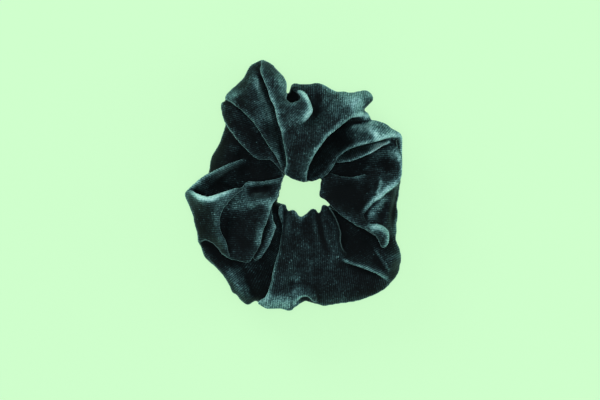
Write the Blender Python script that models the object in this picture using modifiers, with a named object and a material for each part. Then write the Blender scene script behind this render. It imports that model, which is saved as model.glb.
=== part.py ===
"""Velvet scrunchie: a gathered tube of stretch velvet on a sewn loop of flat elastic.

Metres, +Z up. The scrunchie lies flat; the origin is the middle of its footprint,
at the height of the surface that it rests on. The tube is held by its left side and
stretched by its right side, so its cover is made in two gathered halves that meet
at the plane through the middle of the hair hole.
"""

import math

import bmesh
import bpy
from mathutils import Vector

# ---- driving dimensions, in millimetres ----
MM = 0.001
WIDTH = 100.3            # overall, along X
LENGTH = 115.0           # overall, along Y
RING_X, RING_Y = 3.5, -4.5   # middle of the hair hole, from the middle of the footprint
HOLE_R = 8.5             # relaxed hair hole, at its tightest
WALL = 1.4               # velvet with its pile
SPLIT_GAP = 0.3          # between the two halves of the cover
SECTION_POWER = 2.25     # superellipse of the gathered tube's section
SINK = 1.1               # how much of the round underside the table flattens

# Outer edge of the gathered tube and its height, every 15 degrees from +X
OUTER_R = [45.0, 48.0, 52.5, 50.0, 53.0, 51.5, 52.0, 61.0, 60.0, 52.5, 45.5, 46.5,
           52.5, 51.5, 52.0, 52.0, 55.0, 53.5, 51.5, 52.5, 55.0, 57.0, 53.0, 46.5]
TOP_H = [33.0, 34.0, 35.0, 35.5, 36.5, 38.0, 39.5, 40.0, 39.0, 36.0, 32.0, 31.0,
         33.0, 34.0, 33.0, 31.0, 30.0, 30.5, 31.0, 31.0, 31.5, 32.0, 32.5, 33.0]
MAJOR_SEGMENTS, MINOR_SEGMENTS = 60, 18

ELASTIC_R = 22.0         # loop radius to the middle of the band
ELASTIC_WIDTH = 6.0
ELASTIC_THICK = 1.0
ELASTIC_OVERLAP = 11.0   # the two ends lie on each other here
LAYER_GAP = 0.3
ELASTIC_JOIN_DEG = 180.0
ELASTIC_Z = 15.5

THREAD_D = 0.4
SEAM_THREAD_D = 0.5
JOIN_TURNS = 6
CLOSING_STITCHES = 15
SEAM_ALLOWANCE = 5.5     # cloth turned inside the tube, past each row of stitches


def ring_value(table, degrees):
    """Smooth closed curve through a table of values that are evenly spaced round the ring."""
    n = len(table)
    t = (degrees % 360.0) / 360.0 * n
    i = int(math.floor(t))
    f = t - i
    a, b, c, d = (table[(i + k) % n] for k in (-1, 0, 1, 2))
    return 0.5 * (2 * b + (c - a) * f + (2 * a - 5 * b + 4 * c - d) * f * f + (3 * b - a - 3 * c + d) * f ** 3)


def signed_power(value, power):
    return math.copysign(abs(value) ** power, value)


def section_point(degrees, phi, inset=0.0):
    """(radius, z) on the tube's section at this angle round the ring. phi 0 faces outwards and 90 degrees is the top."""
    outer, height = ring_value(OUTER_R, degrees), ring_value(TOP_H, degrees)
    half_w = (outer - HOLE_R) / 2
    half_h = (height + SINK) / 2
    radius = (outer + HOLE_R) / 2 + (half_w - inset) * signed_power(math.cos(phi), 2 / SECTION_POWER)
    z = half_h - SINK + (half_h - inset) * signed_power(math.sin(phi), 2 / SECTION_POWER)
    return radius, max(z, inset)


def placed(degrees, radius, z):
    a = math.radians(degrees)
    return Vector((RING_X + radius * math.cos(a), RING_Y + radius * math.sin(a), z))


def footprint_fit():
    """Scale and shift that bring the gathered ring exactly to WIDTH by LENGTH, with its middle at the origin."""
    edge = [placed(360.0 * i / MAJOR_SEGMENTS, section_point(360.0 * i / MAJOR_SEGMENTS, 0.0)[0], 0.0) for i in range(MAJOR_SEGMENTS)]
    xs, ys = [p.x for p in edge], [p.y for p in edge]
    sx, sy = (WIDTH - SPLIT_GAP) / (max(xs) - min(xs)), LENGTH / (max(ys) - min(ys))
    return sx, sy, (max(xs) + min(xs)) / 2, (max(ys) + min(ys)) / 2


FIT = footprint_fit()


def to_world(p):
    sx, sy, mx, my = FIT
    return Vector(((p.x - mx) * sx * MM, (p.y - my) * sy * MM, p.z * MM))


def clear_scene():
    for obj in list(bpy.data.objects):
        bpy.data.objects.remove(obj, do_unlink=True)


def make_material(name, colour, roughness, metallic=0.0):
    material = bpy.data.materials.new(name)
    material.use_nodes = True
    shader = material.node_tree.nodes["Principled BSDF"]
    shader.inputs["Base Color"].default_value = (*colour, 1.0)
    shader.inputs["Roughness"].default_value = roughness
    shader.inputs["Metallic"].default_value = metallic
    return material


def into_part(obj, material):
    for collection in list(obj.users_collection):
        collection.objects.unlink(obj)
    PART.objects.link(obj)
    obj.data.materials.clear()
    obj.data.materials.append(material)
    return obj


def cover_half(name, side, material):
    """One gathered half of the velvet tube: half a torus moved onto the ring's outline, then given the cloth's thickness."""
    bpy.ops.mesh.primitive_torus_add(major_segments=MAJOR_SEGMENTS, minor_segments=MINOR_SEGMENTS, major_radius=1.0, minor_radius=0.4)
    obj = bpy.context.active_object
    obj.name = obj.data.name = name
    bm = bmesh.new()
    bm.from_mesh(obj.data)
    angles = {}
    for v in bm.verts:
        degrees = math.degrees(math.atan2(v.co.y, v.co.x)) % 360.0
        phi = math.atan2(v.co.z, math.hypot(v.co.x, v.co.y) - 1.0)
        angles[v] = (round(degrees, 3), phi)
    drop = []
    for f in bm.faces:
        middle = f.calc_center_median()
        if middle.x * side < 0:
            drop.append(f)
    for v, (degrees, phi) in angles.items():
        v.co = to_world(placed(degrees, *section_point(degrees, phi)))
        v.co.x += side * SPLIT_GAP / 2 * MM
    bmesh.ops.delete(bm, geom=drop, context="FACES")
    bmesh.ops.recalc_face_normals(bm, faces=bm.faces)
    bm.to_mesh(obj.data)
    bm.free()
    obj.data.shade_smooth()
    wall = obj.modifiers.new("velvet_thickness", "SOLIDIFY")
    wall.thickness = WALL * MM
    wall.offset = -1.0
    wall.use_even_offset = False
    wall.use_rim = True
    return into_part(obj, material)


def poly_curve(name, points, radius, material, cyclic=False, resolution=2):
    curve = bpy.data.curves.new(name, "CURVE")
    curve.dimensions = "3D"
    curve.bevel_depth = radius
    curve.bevel_resolution = resolution
    curve.use_fill_caps = True
    spline = curve.splines.new("POLY")
    spline.points.add(len(points) - 1)
    for slot, p in zip(spline.points, points):
        slot.co = (*p, 1.0)
    spline.use_cyclic_u = cyclic
    obj = bpy.data.objects.new(name, curve)
    bpy.context.scene.collection.objects.link(obj)
    return into_part(obj, material)


def elastic_radius(degrees):
    """Radius to the band's middle at this angle along it. It steps out by one layer from its first end to its last."""
    overlap = math.degrees(ELASTIC_OVERLAP / ELASTIC_R)
    step = (ELASTIC_THICK + LAYER_GAP) / 2
    total = 360.0 + overlap
    s = (degrees + overlap / 2) / total          # 0 at the first end, 1 at the last
    blend = min(max((s - 0.15) / 0.7, 0.0), 1.0)
    blend = blend * blend * (3 - 2 * blend)
    return ELASTIC_R - step + 2 * step * blend


def elastic_band(material):
    """Flat elastic on edge: a strip whose ends lap over each other, drawn in plan and extruded to its width."""
    overlap = math.degrees(ELASTIC_OVERLAP / ELASTIC_R)
    n = 72
    inner, outer = [], []
    for i in range(n + 1):
        degrees = -overlap / 2 + (360.0 + overlap) * i / n
        r = elastic_radius(degrees)
        for row, edge in ((inner, -0.5), (outer, 0.5)):
            p = to_world(placed(degrees + ELASTIC_JOIN_DEG, r + edge * ELASTIC_THICK, 0.0))
            row.append((p.x, p.y))
    outline = outer + inner[::-1]
    curve = bpy.data.curves.new("elastic_band", "CURVE")
    curve.dimensions = "2D"
    curve.fill_mode = "BOTH"
    curve.extrude = ELASTIC_WIDTH / 2 * MM
    spline = curve.splines.new("POLY")
    spline.points.add(len(outline) - 1)
    for slot, (x, y) in zip(spline.points, outline):
        slot.co = (x, y, 0.0, 1.0)
    spline.use_cyclic_u = True
    obj = bpy.data.objects.new("elastic_band", curve)
    obj.location = (0.0, 0.0, ELASTIC_Z * MM)
    bpy.context.scene.collection.objects.link(obj)
    return into_part(obj, material)


def elastic_join_thread(material):
    """Thread whipped round the two lapped ends of the elastic."""
    half_r = (2 * ELASTIC_THICK + LAYER_GAP) / 2 + 0.35 + THREAD_D / 2
    half_z = ELASTIC_WIDTH / 2 + 0.35 + THREAD_D / 2
    reach = ELASTIC_OVERLAP * 0.36
    points = []
    n = 12 * JOIN_TURNS
    for i in range(n + 1):
        t = i / n
        phi = 2 * math.pi * JOIN_TURNS * t
        along = -reach + 2 * reach * t
        degrees = ELASTIC_JOIN_DEG + math.degrees(along / ELASTIC_R)
        r = ELASTIC_R + half_r * signed_power(math.cos(phi), 0.55)
        z = ELASTIC_Z + half_z * signed_power(math.sin(phi), 0.55)
        points.append(to_world(placed(degrees, r, z)))
    return poly_curve("elastic_join_thread", points, THREAD_D / 2 * MM, material)


def tube_seam_thread(material):
    """The lockstitch that closes the velvet into a tube. It runs the whole way round, a seam allowance in from the edge that faces the hole."""
    points = []
    n = 72
    for i in range(n):
        degrees = 360.0 * i / n
        wave = 0.35 * math.cos(math.radians(degrees) * 24)
        r, _ = section_point(degrees, math.pi, inset=WALL + SEAM_ALLOWANCE)
        height = ring_value(TOP_H, degrees)
        points.append(to_world(placed(degrees, r, height / 2 + wave)))
    return poly_curve("tube_seam_thread", points, SEAM_THREAD_D / 2 * MM, material, cyclic=True)


def closing_seam_thread(material):
    """Stitches that join the two ends of the tube to each other, inside it, across the split at the lower edge of the ring."""
    points = []
    n = CLOSING_STITCHES * 4
    start, end = math.radians(180 + 32), math.radians(540 - 32)
    for i in range(n + 1):
        t = i / n
        phi = start + (end - start) * t
        side = math.asin(math.sin(2 * math.pi * CLOSING_STITCHES * t)) / (math.pi / 2)
        p = to_world(placed(270.0, *section_point(270.0, phi, inset=WALL + SEAM_ALLOWANCE)))
        p.x += side * 1.3 * MM
        points.append(p)
    return poly_curve("closing_seam_thread", points, THREAD_D / 2 * MM, material)


clear_scene()
PART = bpy.data.collections.new("scrunchie")
bpy.context.scene.collection.children.link(PART)

velvet = make_material("velvet", (0.018, 0.048, 0.055), 0.9)
elastic = make_material("elastic", (0.03, 0.03, 0.032), 0.8)
thread = make_material("thread", (0.02, 0.045, 0.05), 0.6)

cover_half("velvet_cover_left", -1, velvet)
cover_half("velvet_cover_right", 1, velvet)
elastic_band(elastic)
elastic_join_thread(thread)
tube_seam_thread(thread)
closing_seam_thread(thread)
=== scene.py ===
"""Velvet scrunchie, detailed: a gathered velvet cover that falls in layered folds, over a sewn loop of flat elastic."""
import math

import bmesh
import bpy
import numpy as np
import openvdb
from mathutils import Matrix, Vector


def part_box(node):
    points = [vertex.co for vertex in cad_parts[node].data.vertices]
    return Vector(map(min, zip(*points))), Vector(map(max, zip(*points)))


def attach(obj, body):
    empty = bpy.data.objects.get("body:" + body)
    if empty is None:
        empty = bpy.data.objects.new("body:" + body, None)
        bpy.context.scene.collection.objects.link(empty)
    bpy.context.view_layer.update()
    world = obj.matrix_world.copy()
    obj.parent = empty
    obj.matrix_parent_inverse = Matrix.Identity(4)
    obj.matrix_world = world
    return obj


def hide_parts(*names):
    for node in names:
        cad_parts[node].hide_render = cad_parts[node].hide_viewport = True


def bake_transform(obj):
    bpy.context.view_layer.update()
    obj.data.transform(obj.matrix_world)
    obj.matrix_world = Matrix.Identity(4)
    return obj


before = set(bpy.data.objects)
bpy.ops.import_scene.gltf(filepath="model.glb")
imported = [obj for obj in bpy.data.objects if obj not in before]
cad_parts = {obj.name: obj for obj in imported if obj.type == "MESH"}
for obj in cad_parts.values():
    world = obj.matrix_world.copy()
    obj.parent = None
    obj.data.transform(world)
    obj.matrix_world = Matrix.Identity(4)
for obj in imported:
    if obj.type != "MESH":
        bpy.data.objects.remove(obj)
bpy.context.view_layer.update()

MM = 0.001
VOXEL = 0.5       # mm
CLOTH = 0.9                                    # thickness of the velvet, mm
RIB = 0.86                                     # pitch of the velvet's ribs, mm

# ---------------------------------------------------------------- the folds, in mm on the frame's axes
# Each fold is a panel of cloth seen from above. "edges" go round it: o is the ring's outer side, which is rounded
# down to the table; f is a free fold edge, a lip of this radius; h is an edge tucked under other folds.
# "ctrl" are heights of the cloth (x, y, z). "ridges" are creases: a line, its height and its half width.
# "tones" are painted highlights and painted shade: lines where the colour is lightened to stand in for light caught
# along a fold, or darkened to stand in for shade, each a line, its half width and how much. "ribs" is the direction of
# the velvet's ribs in degrees, and how far off they fan from.
OUTLINE = "-14.3,57.5 -10.1,55.6 -6.6,51.9 -3.9,48.9 -2.8,45.7 -3.2,42.2 -2.9,39.9 -1,45.9 0.3,46.9 5.5,46.3 10.4,46.9 13.5,46.3 16.2,44.8 19.9,42.9 22.6,43.1 25.7,42.3 29.1,42.9 32.8,43.4 34.9,42.3 36.5,40 35.8,37.9 32.8,35.1 31.8,33.9 33.4,33.7 34.9,32.1 35.6,30.2 39.1,29.4 42.1,28.3 44.9,26.2 47.9,24.5 49.6,22.4 50.2,18.3 49.9,12.5 49.6,3.7 48.5,-3.6 47.5,-8.8 48.2,-13.5 47.7,-16.6 47.1,-23.6 47.1,-25.2 49,-29.8 49.6,-33.5 49,-36.6 48.4,-40.2 45.9,-43.6 42.8,-46.7 37.6,-50 30.3,-52.8 22.3,-54 14.3,-55.4 12.1,-54.9 9.2,-54.2 5.7,-52.7 2.9,-54.5 0.1,-56.6 -2,-57.5 -5.9,-56.6 -11.8,-56.5 -15,-54.9 -17.3,-53 -20.2,-54.9 -21.8,-55.1 -24.4,-53 -26.3,-50.4 -28.2,-49.4 -29.2,-47.8 -29.2,-46.6 -31.4,-42.4 -34.3,-38.8 -35.9,-37.5 -38.2,-35.6 -41.1,-32.4 -42.4,-29.8 -42.4,-28.5 -44,-25.3 -44.3,-21.8 -45.6,-18 -46.2,-13.7 -47.8,-9.6 -48.5,-8 -50.1,-4.8 -49.8,-2.9 -47.2,-0.3 -42.4,3.5 -38.8,5.8 -38.8,6.4 -38.2,11.9 -36.9,15.1 -34,19.6 -33,22.2 -31.5,28 -32.8,32.3 -33.5,36.2 -32.8,38.3 -31.2,39 -31.2,40.7 -29.7,42.5 -26,46 -23,48.7 -21.1,52.6 -19.1,55.1 -16.6,56.6"
HOLE = "-3.7,4.2 -0.2,2.3 3.8,1.1 5.2,0.8 9.2,1.5 12.2,2.6 11.7,-1.4 11.3,-4.7 12.2,-6.1 14.5,-7 16,-9.2 13.8,-8.5 12.4,-9.8 11.7,-12.4 10.8,-11 9.2,-10.2 7.5,-10.8 5.6,-12.6 3.3,-14 1.9,-12.4 0.3,-10.9 -1.1,-10.8 -2.3,-11.4 -2.8,-9.1 -3.7,-8 -5.4,-7.5 -6.7,-7.2 -6,-4.7 -4.9,0"
FOLDS = [
    dict(name="upper_left_hollow",
         edges=[("o", 11, "-39.9,4.4 -38.8,6.4 -38.2,11.9 -36.9,15.1 -34,19.6 -33,22.2 -31.5,28 -32.3,31.4"),
                ("h", 4, "-32.3,31.4 -24.5,30 -16.3,20.8 -8.5,11.7 -4.4,4.4"),
                ("h", 4, "-4.4,4.4 -6.2,-0.2 -14.4,-2.1 -25.4,-2.1 -39.9,4.4")],
         ctrl="-37.3,11.7,20 -32.8,20.8,23.5 -30,26.8,24 -28.2,16.3,24 -30.9,9.4,24 -22.2,8.5,20 -14.4,7.1,20 -6.2,4.8,22 -23.1,15.3,22 -19.9,3.4,20 -12.6,3.4,21 -29.1,12.6,24.5",
         ridges=[("-36.4,16.3 -30.9,18.1 -23.6,16.3", 0.8, 2.5),
                 ("-35.5,8.9 -29.1,12.6 -21.8,14.4", -1.2, 2.0)],
         tones=[("-32.3,26.3 -33.7,20.8", 1.5, 0.1), ("-33.7,20.8 -36.9,14.9 -38.3,10.3 -39.6,6.2", 3.0, -0.52), ("-24.5,11.7 -15.3,6.2 -7.1,4.4", 4, -0.1), ("-29.1,22.7 -28.2,15.3 -22.7,8.9", 7, -0.14)],
         ribs=(-10, 183.3)),
    dict(name="lower_left_panel",
         edges=[("o", 11, "-44.7,-19.5 -44.3,-21.8 -44,-25.3 -42.4,-28.5 -41.1,-32.4 -38.2,-35.6 -34.3,-38.8 -31.4,-42.4 -29.2,-46.6 -28.2,-49.4 -26.3,-50.4 -24.4,-53 -21.8,-55.1 -20.2,-54.9 -17.3,-53 -15,-54.9 -11.7,-56.1"),
                ("h", 4, "-11.7,-56.1 -8,-43.3 -4.4,-25 -5.3,-16.7"),
                ("h", 4, "-5.3,-16.7 -17.6,-18.6 -31.4,-18.6 -44.7,-19.5")],
         ctrl="-41.5,-26.8,20 -37.3,-32.8,22 -32.8,-37.8,25.5 -29.1,-40.6,25 -24.5,-42.8,21 -26.3,-35.1,20 -19.9,-38.7,17.5 -14.4,-35.1,18 -14.4,-43.3,17.5 -19,-47.9,19 -22.7,-48.8,21.5 -26.3,-47.9,21.5 -19.9,-53.4,17 -14.4,-52.5,19 -8,-29.6,21 -10.8,-38.7,19 -28.2,-44.7,22.5 -36,-29.6,19",
         ridges=[("-40.1,-29.6 -36.4,-34.1 -32.8,-38.3 -28.6,-42.8 -24.5,-47.9 -21.3,-52.5", 2.6, 2.0),
                 ("-16.3,-37.8 -18.1,-45.1 -17.2,-51.5", -2.4, 2.0),
                 ("-21.8,-55.2 -23.1,-51.5 -21.8,-47", -1.4, 1.0),
                 ("-37.3,-29.6 -30.9,-35.1 -24.5,-37.8", -1.2, 2.0),
                 ("-42.1,-30.2 -39.6,-33.7 -36.4,-37.3", -1.2, 0.45)],
         tones=[("-30.9,-37.8 -27.3,-41 -24.5,-44.7 -23.1,-47.9", 3.2, 0.28), ("-30.9,-39.6 -28.2,-41.9", 2.6, 0.1), ("-36.4,-37.8 -33.2,-41.5 -30,-46.5 -25.4,-52", 1.4, -0.3), ("-30.9,-37.8 -26.3,-38.3 -21.8,-39.6", 2.4, 0.12), ("-38.3,-34.6 -33.7,-38.3 -29.6,-43.3", 2.2, -0.2), ("-41.5,-29.8 -38.9,-33 -35.5,-37.1", 0.5, 0.4), ("-41.9,-30.5 -39.2,-34.6", 1.2, -0.2), ("-23.1,-51.1 -19.9,-53.8", 2.0, -0.16), ("-43.3,-25 -41.5,-29.6", 1.0, 0.06), ("-41.5,-28.6 -36.4,-33.2 -30.9,-36 -26.3,-36.9", 3.2, -0.24), ("-19.9,-48.8 -17.2,-52.5", 2.5, 0.12), ("-19,-41.9 -15.3,-44.2 -14.4,-47.9 -16.3,-50.6", 4.0, -0.22), ("-24.5,-38.3 -20.8,-40.6", 2.8, 0.14)],
         ribs=(38, 137.5)),
    dict(name="pocket_lining",
         edges=[("h", 4, "20.4,16.7 30.5,21.8 47,23.6"),
                ("o", 8, "47,23.6 48.8,22.2 47.9,20.4"),
                ("f", 1.5, "47.9,20.4 44.9,20.9 43.5,18.9 40.6,17.1 36.8,14.8 32.4,12.8 28,11 23.9,10.1 20.1,9.7 19.9,9.4"),
                ("h", 3, "19.9,9.4 18.6,10.3 18.6,13.5 20.4,16.7")],
         ctrl="21.3,10.3,27.5 27.7,11.7,27.5 33.2,14,27.5 39.6,17.4,27.5 44.7,21.3,27 23.6,13.5,24 29.6,16.3,23.5 36,17.6,23.5 41.5,19.9,24.5 19,11.7,25",
         tones=[("23.6,12.8 28.6,14.9 35.1,17.4", 1.7, -0.32), ("20.2,9.9 24.1,10.6 28.2,11.5 32.5,13.4 36.9,15.4 40.6,17.6 43.5,19.5 45.6,20.9", 0.7, 0.6), ("35.1,15.3 42.4,19.5", 2.2, 0.42), ("36.9,17 44.2,20.6", 2.4, 0.34)],
         ribs=(-70, 137.5)),
    dict(name="right_outer_side",
         edges=[("o", 11, "44.7,24.5 47.9,24.5 49.6,22.4 50.2,18.3 49.9,12.5 49.6,3.7 48.5,-3.6 47.5,-8.8 48.2,-13.5 47.7,-16.6 47.1,-23.6"),
                ("h", 4, "47.1,-23.6 42.4,-25 36.9,-23.1 30.5,-19"),
                ("h", 4, "30.5,-19 28.2,-13.1 31.4,-5.7 42.4,7.1 41.9,19.9 44.7,24.5")],
         ctrl="45.1,24.1,29 47,22.7,30 48.8,20.8,29 49.7,18.1,27 47.9,19,24 48.3,11.7,23 47.9,3.4,23.5 46.5,-4.4,25 44.2,-11.2,26 43.3,-18.1,26 46,-19.5,23 38.7,-12.1,26 41,-6.6,28 37.8,-16.7,27.5 34.1,-15.3,27.5 31.4,-15.8,26 36,-11.2,26.5 32.3,-12.1,25 45.1,0.2,26 42.4,11.7,22",
         ridges=[("49.7,11.7 48.8,3.4 47,-4.8 45.1,-12.1 44.7,-19.5", -1.6, 0.9),
                 ("42.4,-5.7 41.5,-12.1 39.6,-16.7", -1.6, 1.4),
                 ("44.7,-4.8 42.8,-11.2 41.5,-17.6", 1.2, 1.6)],
         tones=[("40.1,-8 36.9,-11.7 33.7,-15.3", 2.4, 0.26), ("44.7,-2.1 45.1,-9.4 44.7,-18.6", 2.0, -0.3), ("46,-16.7 45.1,-22.2", 2, 0.15), ("47,24.1 49,21.8 49.7,18.1 49.9,13.5", 2.2, 0.85), ("45.6,-3.4 41.5,-6.9 37.3,-10.3 33.7,-14", 1.8, 0.28), ("46.7,-14.9 46.5,-21.3", 0.7, 0.3)],
         ribs=(0, 229.1)),
    dict(name="right_face_upper",
         edges=[("h", 4, "13.1,6.2 20.4,11.7 30.5,14.4 45.1,23.6"),
                ("f", 3.2, "45.1,23.6 47,20.4 48.1,16.7 49.3,13.1 49.7,9.4 49.7,6.2 49.2,3.1 47.4,0.2"),
                ("h", 4, "47.4,0.2 36,-3 23.6,0.7 13.1,6.2")],
         ctrl="16.7,6.6,22 23.6,7.1,20.5 29.6,8.5,20.5 36,10.3,21.5 41.5,13.5,23 44.2,18.1,25 47,16.3,27.5 47.9,11.7,29.5 48.1,7.1,30 47,2.5,29.5 41.5,3.4,26 37.8,4.4,24 35.1,3,23.5 28.2,1.6,21 43.3,8.9,23.5 44.2,-0.2,28.5",
         ridges=[("31.4,8.9 36.9,7.1 42.4,6.6", 1.3, 2.0),
                 ("37.8,12.6 41.5,8.9 44.2,4.4", -1.0, 2.0)],
         tones=[("47,15.3 48.6,11.7 49.2,8 48.9,4.4 47.7,1.6", 0.9, 0.45), ("36.9,12.6 41,14.9 44.7,16.3", 3.0, 0.42), ("44.2,15.8 47,12.6", 2.4, 0.3), ("45.8,21.1 47,18.6", 0.7, -0.5), ("42.4,4.8 46,5.3", 3, 0.22), ("43.8,8.9 45.1,7.1", 2.2, -0.25), ("25.9,8.9 37.8,11.7", 5, -0.1), ("19,7.1 26.8,8", 5, -0.1)],
         ribs=(-5, 229.1)),
    dict(name="right_face_lower",
         edges=[("f", 1.8, "14.9,6.4 17.5,5.9 20.7,4.9 25.1,4.3 28.9,4.6 32.1,5.2 34.1,4.6"),
                ("h", 5, "34.1,4.6 37.8,4.8 43.3,5.3 49,6.2"),
                ("f", 2.8, "49,6.2 49.2,3.4 47.9,0.7 46,-1.1 43.2,-2.9 40.3,-5.4 36.8,-7.7 34.5,-10.3 32.1,-13.2"),
                ("h", 3, "32.1,-13.2 33.2,-16.3 36,-20.4 38.7,-25"),
                ("f", 3.2, "38.7,-25 37.6,-22.3 34.5,-20.8 30.3,-19.4 26.6,-17.5 22.9,-15.1 20.1,-13 17.2,-10 14.6,-7.1"),
                ("f", 5, "14.6,-7.1 12,-5.7 11.3,-4.7 11.6,-1.4 12.2,2.2 14.9,6.4")],
         ctrl="15.8,4.8,26 20.4,3.4,25.5 25.9,3,25 31.4,3.4,25.5 35.1,2.5,24.5 39.6,1.1,27.5 44.2,2.5,28.5 47.4,3,29.8 45.6,-0.2,30 43.3,-2.1,30.5 39.6,-4.8,30.5 36,-7.3,30.5 33.2,-10.3,29.5 25.9,-4.4,22.5 21.3,-6.6,23.5 15.8,-2.1,25.5 14,0.7,27 16.7,-7.6,28 21.3,-11.7,29.5 26.8,-15.8,30 31.4,-18.1,29.5 30.5,-8.9,24.5 35.1,-2.1,25 23.1,-1.1,23",
         ridges=[("39.6,3.7 39.8,1.6 38.7,-1.6 37.6,-4.4", 1.7, 0.9),
                 ("35.5,2.1 36.4,-1.1 35.1,-5.3", -2.2, 2.2),
                 ("18.1,-1.1 23.6,-0.2 29.6,-1.1", -1.0, 3),
                 ("28.6,-12.6 32.3,-8.5 36.4,-5.7", -1.2, 1.6)],
         tones=[("39.4,2.5 39.2,-0.7 37.8,-4.4", 0.9, 0.4), ("47.9,2.5 44.2,-1.1 39.6,-5 36,-8 32.3,-12.1", 1.6, 0.66), ("40.1,-0.7 44.7,0.7 47.4,3", 2.8, 0.16), ("41.5,-3.4 36,-7.1", 1.8, 0.22), ("22.2,-14 28.6,-18.1 34.1,-20.4", 1.2, 0.2), ("16.7,1.6 23.6,-2.1 28.6,-5.7 32.3,-2.1", 7, -0.2), ("14.9,-4.8 21.3,-7.6 25.9,-12.1", 4, -0.2), ("45.1,2.1 48.3,3.4", 2.2, -0.14), ("24.5,3.7 28.6,3.9 31.8,4.6", 0.7, 0.22)],
         ribs=(-8, 183.3), join=1.8),
    dict(name="right_roll",
         edges=[("h", 3, "26.6,-17.8 29.6,-16 33.2,-16.3 36,-17"),
                ("f", 2.4, "36,-17 38.7,-17.4 41.2,-18.5 43.1,-20.2 43.9,-22.2 43.9,-24.5 43.4,-26.3 42.6,-27.9 41.3,-28.9"),
                ("f", 3.4, "41.3,-28.9 39.6,-28.4 38.7,-26.6 37.7,-24.3 34.5,-21.2 30.3,-19.6 26.6,-17.8")],
         ctrl="28.6,-17.6,28.5 32.8,-18.6,29.5 36,-19.5,31 39.2,-20.4,32.5 41.5,-22.7,32.5 41.9,-25.4,32 41,-27.7,30.5 39.2,-25,31.5 36.9,-13.5,27.5 41.5,-14.9,27 43.3,-19.5,28",
         tones=[("36.9,-17.9 40.6,-19.2 42.5,-21.1 43.2,-23.6 42.8,-26.1 41.9,-27.7", 1.5, 0.72), ("36.9,-22.2 38.7,-25.4 40.6,-27.7", 1.8, -0.1), ("30.5,-18.1 37.8,-19.7", 2.4, 0.5)],
         ribs=(-8, 183.3)),
    dict(name="lower_right_hollow",
         edges=[("h", 5, "13.1,-8.5 23.6,-13.1 36,-19.5 47,-23.1"),
                ("o", 13, "47,-23.1 47.1,-25.2 49,-29.8 49.6,-33.5 49,-36.6 48.4,-40.2 45.9,-43.6 44.2,-45.1"),
                ("f", 2.2, "44.2,-45.1 41.9,-43 38.3,-40.8 33.6,-39 29,-37.2 24.1,-35.6 20.8,-33.4 19,-31.4"),
                ("h", 5, "19,-31.4 15.8,-26.8 14,-20.4 13.1,-8.5")],
         ctrl="16.7,-13.5,22 21.3,-18.1,20.5 23.6,-25,19.5 22.2,-31.4,25 20.8,-29.6,24 26.8,-30.5,21.5 31.4,-27.3,20.5 26.8,-20.4,20.5 32.8,-33.2,23.5 37.8,-36.9,26 41.5,-40.6,26 36,-25.9,22 41.9,-31.8,26 45.1,-35.1,28 47,-32.3,27 45.1,-27.7,25 47,-37.8,24 23.1,-34.1,27.5 30.5,-36.4,28 25.9,-35.3,28 35.1,-38.3,28 39.6,-41,28",
         ridges=[("37,-28.9 39.5,-32.6 41.6,-35.9 44.4,-39.3", 1.2, 0.7),
                 ("42.4,-35.1 46,-33.2 49.3,-32.3", 1.6, 1.8),
                 ("38.3,-33.7 40.1,-36.9 42.4,-39.6", -1.4, 1.3),
                 ("31.4,-25 36,-29.6 39.6,-35.1", -1.0, 2.0)],
         tones=[("21.3,-33.4 27.7,-36.2 34.1,-38.5 39.6,-41.2 43.3,-43.8", 0.9, 0.45), ("25.9,-35.1 33.2,-37.3", 1.2, 0.1), ("43.3,-32.3 48.3,-32.1", 1.4, 0.26), ("48.6,-35.1 47.4,-40.6 45.1,-43.8", 2.2, -0.42), ("14.9,-10.3 17.6,-16.7 19.5,-23.1", 3, -0.22), ("25,-32.3 29.6,-35.1", 2.5, -0.12), ("45.1,-30.5 46.5,-35.1", 2.5, -0.14), ("36.9,-29.1 40.1,-33.7 44.2,-39.2", 0.5, 0.28), ("35.5,-41.2 39.6,-43.3", 2.2, 0.16), ("22.2,-32.3 25.9,-34.1", 2.5, -0.12), ("42.4,-36.9 45.1,-35.1", 2.0, -0.12), ("23.6,-21.3 28.6,-25.9 34.1,-30.5", 6, -0.1)],
         ribs=(30, 137.5)),
    dict(name="bottom_panel",
         edges=[("f", 4.2, "-17,-53.8 -15.6,-52.2 -13.5,-50.9 -12.3,-49 -11.3,-46 -10.3,-42.2 -9.6,-38 -8.3,-33.4 -6.9,-28.9 -6.2,-24.1 -5.7,-18.6 -7.1,-13.1 -6.8,-9.4"),
                ("f", 3.6, "-6.8,-9.4 -4.4,-8.2 -3.3,-8.4 -2.3,-11.4 -1.1,-10.6 0.3,-10.7 1.9,-12.2 3.3,-13.9 5.6,-12.5 7.5,-10.6 9.2,-10 10.8,-10.8 11.7,-12.2 12.4,-9.6 13.8,-8.3 15.7,-8.9"),
                ("h", 5, "15.7,-8.9 19.5,-14.4 21.8,-21.3 22.2,-27.7 25.9,-32.3 31.4,-35.1 38.7,-38.7 44.7,-44.7"),
                ("o", 13, "44.7,-44.7 42.8,-46.7 37.6,-50 30.3,-52.8 22.3,-54 14.3,-55.4 12.1,-54.9 9.2,-54.2 6.2,-53.2"),
                ("f", 3, "6.2,-53.2 4.4,-53.6 2.9,-54.5 0.1,-56.6"),
                ("o", 10, "0.1,-56.6 -2,-57.5 -5.9,-56.6 -11.8,-56.5 -15,-54.9 -17,-53.8")],
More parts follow.
